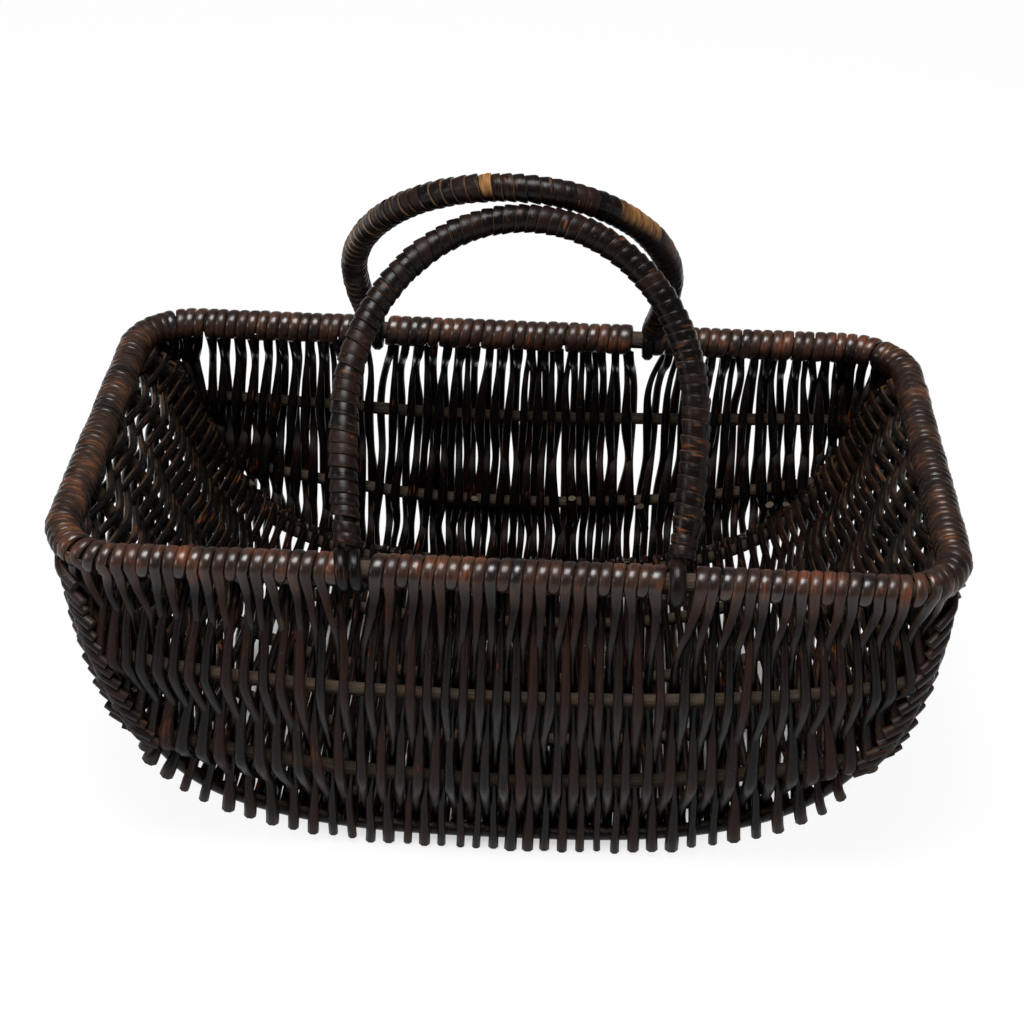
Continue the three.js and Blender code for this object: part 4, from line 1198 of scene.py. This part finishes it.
def make_winding(name, handle):
    """The wound grip: a spiral round the arch, whose turns differ in step, width, height and tone.

    A worn stretch is given by its middle and its half length, as shares of the half arch, and by
    how bare it is, and shows on top only."""
    chance = np.random.default_rng(handle["seed"])
    u, v, length = arch(handle["rise"], GRIP_FROM, GRIP_STEPS)
    place = np.linspace(-1, 1, GRIP_STEPS)
    pitch = 5.7 + 0.9 * smooth((np.abs(place) - 0.45) / 0.4)
    pitch = pitch * (1 + 0.2 * through(chance.uniform(-1, 1, (1, 70)), (place[None] + 1) * 34.5)[0])
    t = np.concatenate([[0], np.cumsum(length / (GRIP_STEPS - 1) / pitch[1:])])
    du, dv = np.gradient(u), np.gradient(v)
    size = np.hypot(du, dv)
    flat_u, flat_v = dv / size, -du / size
    radius = GRIP_RADIUS + per_turn(chance, t, -0.12, 0.18)
    angle = 2 * math.pi * t
    reach_in = radius * np.cos(angle)
    path = leaned(handle, u + flat_u * reach_in, v + flat_v * reach_in, radius * np.sin(angle))
    out = unit(path - leaned(handle, u, v, 0 * u))
    wide = pitch * per_turn(chance, t, 1.02, 1.12)
    tone = per_turn(chance, t, 0.0, 1.0)
    worn = sum(
        level * smooth((half - np.abs(place - middle)) / 0.02)
        for middle, half, level in handle["worn"]
    ) * smooth(out[..., 2] * 2 + 0.6)
    make_piece(f"{name}_handle_winding", [f"{name}_handle_wrap"], "bound_willow", WOUND_STRIP,
               path[None], out[None], wide[None], GRIP_THICKNESS, tone[None], body=f"{name}_handle",
               seed=handle["seed"] + 6, marks={"bare": worn[None]}, fullness=4.0, roll=GRIP_ROLL)


def make_loops(name, handle, label, way):
    """The binding above a foot: two flat turns, or four thin ones at the back's right foot."""
    thin = handle["side"] > 0 and way > 0
    loops, wide, fullness = (4, 2.9, 2.0) if thin else (2, 5.5, 3.2)
    t = np.linspace(0, loops, loops * STEPS_PER_TURN)
    v = LOOPS_FROM + t / loops * LOOPS_RISE
    u = way * leg_spread(v)
    angle = 2 * math.pi * t
    path = leaned(handle, u + LOOP_RADIUS * np.cos(angle), v, LOOP_RADIUS * np.sin(angle))
    out = unit(path - leaned(handle, u, v, 0 * u))
    make_piece(f"{name}_handle_{label}_loops", [f"{name}_handle_{label}_binding"], "bound_willow",
               WOUND_STRIP, path[None], out[None], wide, LOOP_THICKNESS, [0.5],
               body=f"{name}_handle", seed=handle["seed"] + 8 + way, fullness=fullness)


for name, handle in HANDLES.items():
    make_handle_rod(name, handle)
    make_winding(name, handle)
    make_loops(name, handle, "left", -1)
    make_loops(name, handle, "right", 1)

# %% [markdown]
# ## Floor, light and camera
#
# The basket stands on a plain white floor under soft light, so that its dark varnish is read by
# its highlights. Only an oval of paper round it is lit by the lamps, where its shadow falls.
# Further out the paper glows of itself, so that it is as white as the room. The camera looks down
# at about 34 degrees from a little right of the middle, with a long lens.

# %% Floor and backdrop
FLOOR_GLOW = 0.93
ROOM_LEVEL = 0.22
# The lit oval is 0.22 by 0.145 m from its middle, and Z plays no part.
OVAL = (1 / 0.22, 1 / 0.145, 0)
WHITE = (1, 1, 1, 1)


def background_rays(tree):
    """1 for rays from the camera and for reflections, and 0 for light that falls on the basket."""
    path = add_node(tree, "ShaderNodeLightPath").outputs
    either = {0: path["Is Camera Ray"], 1: path["Is Glossy Ray"]}
    return add_node(tree, "ShaderNodeMath", either, operation="MAXIMUM").outputs[0]


paper = bpy.data.materials.new("white_paper_floor")
paper.use_nodes = True
tree = paper.node_tree
tree.nodes.clear()
lit = add_node(tree, "ShaderNodeBsdfDiffuse", {"Color": linear("#f6f6f6")})
glow = add_node(tree, "ShaderNodeEmission", {"Color": WHITE, "Strength": background_rays(tree)})
place = add_node(tree, "ShaderNodeTexCoord").outputs["Object"]
squashed = add_node(tree, "ShaderNodeMapping", {"Vector": place, "Scale": OVAL}).outputs[0]
reach = add_node(tree, "ShaderNodeVectorMath", {0: squashed}, operation="LENGTH").outputs["Value"]
inputs = {"Value": reach, "From Min": 0.6, "From Max": 1.0, "To Min": 0.0, "To Max": FLOOR_GLOW}
share = add_node(tree, "ShaderNodeMapRange", inputs, interpolation_type="SMOOTHSTEP").outputs[0]
both = add_node(tree, "ShaderNodeMixShader", {"Fac": share, 1: lit.outputs[0], 2: glow.outputs[0]})
add_node(tree, "ShaderNodeOutputMaterial", {"Surface": both.outputs[0]})

plane = bpy.data.meshes.new("floor")
plane.from_pydata([(-6, -4, 0), (6, -4, 0), (6, 9, 0), (-6, 9, 0)], [], [(0, 1, 2, 3)])
plane.materials.append(paper)
ground = new_object("floor", plane)

room = bpy.data.worlds.new("white_room")
bpy.context.scene.world = room
room.use_nodes = True
tree = room.node_tree
tree.nodes.clear()
seen = add_node(tree, "ShaderNodeLightPath").outputs["Is Camera Ray"]
level = add_node(tree, "ShaderNodeMapRange", {"Value": seen, "To Min": ROOM_LEVEL, "To Max": 1.0})
sky = add_node(tree, "ShaderNodeBackground", {"Color": WHITE, "Strength": level.outputs[0]})
add_node(tree, "ShaderNodeOutputWorld", {"Surface": sky.outputs[0]})
print("floor of", len(plane.vertices), "corners, and a room at", ROOM_LEVEL)

# %% Lamps
AIM = Vector((0, 0, 0.12))


def add_lamp(name, place, size, power):
    """A square soft lamp at place, in metres, turned to the basket, with its power in watts."""
    light = bpy.data.lights.new(name, "AREA")
    light.size = size
    light.energy = power
    lamp = new_object(name, light)
    lamp.location = place
    lamp.rotation_euler = (AIM - Vector(place)).to_track_quat("-Z", "Y").to_euler()
    print(name, "lamp:", power, "W")


add_lamp("ceiling", (-0.15, -0.3, 1.8), 0.9, 44)
add_lamp("window", (-1.6, -0.7, 0.8), 0.6, 7)
add_lamp("fill", (1.6, -0.8, 0.7), 0.8, 2)

# %% Camera
RIGHT = np.array([0.99903, 0.03757, 0.02314])
UP = np.array([-0.04007, 0.55281, 0.83234])
FORWARD = np.array([-0.01848, 0.83246, -0.55378])
PLACE = np.array([19.65, -887.75, 715.2]) / 1000
SENSOR = 36
FOCAL_PIXELS, PICTURE_PIXELS = 2000, 1024
lens = bpy.data.cameras.new("camera")
lens.sensor_width = SENSOR
lens.lens = SENSOR * FOCAL_PIXELS / PICTURE_PIXELS
lens.clip_start = 0.05
camera = new_object("camera", lens)
pose = np.eye(4)
pose[:3, 0], pose[:3, 1], pose[:3, 2], pose[:3, 3] = RIGHT, UP, -FORWARD, PLACE
camera.matrix_world = Matrix(pose.tolist())
bpy.context.scene.camera = camera
bpy.context.scene.view_settings.view_transform = "Standard"
print("lens:", round(lens.lens, 1), "mm")
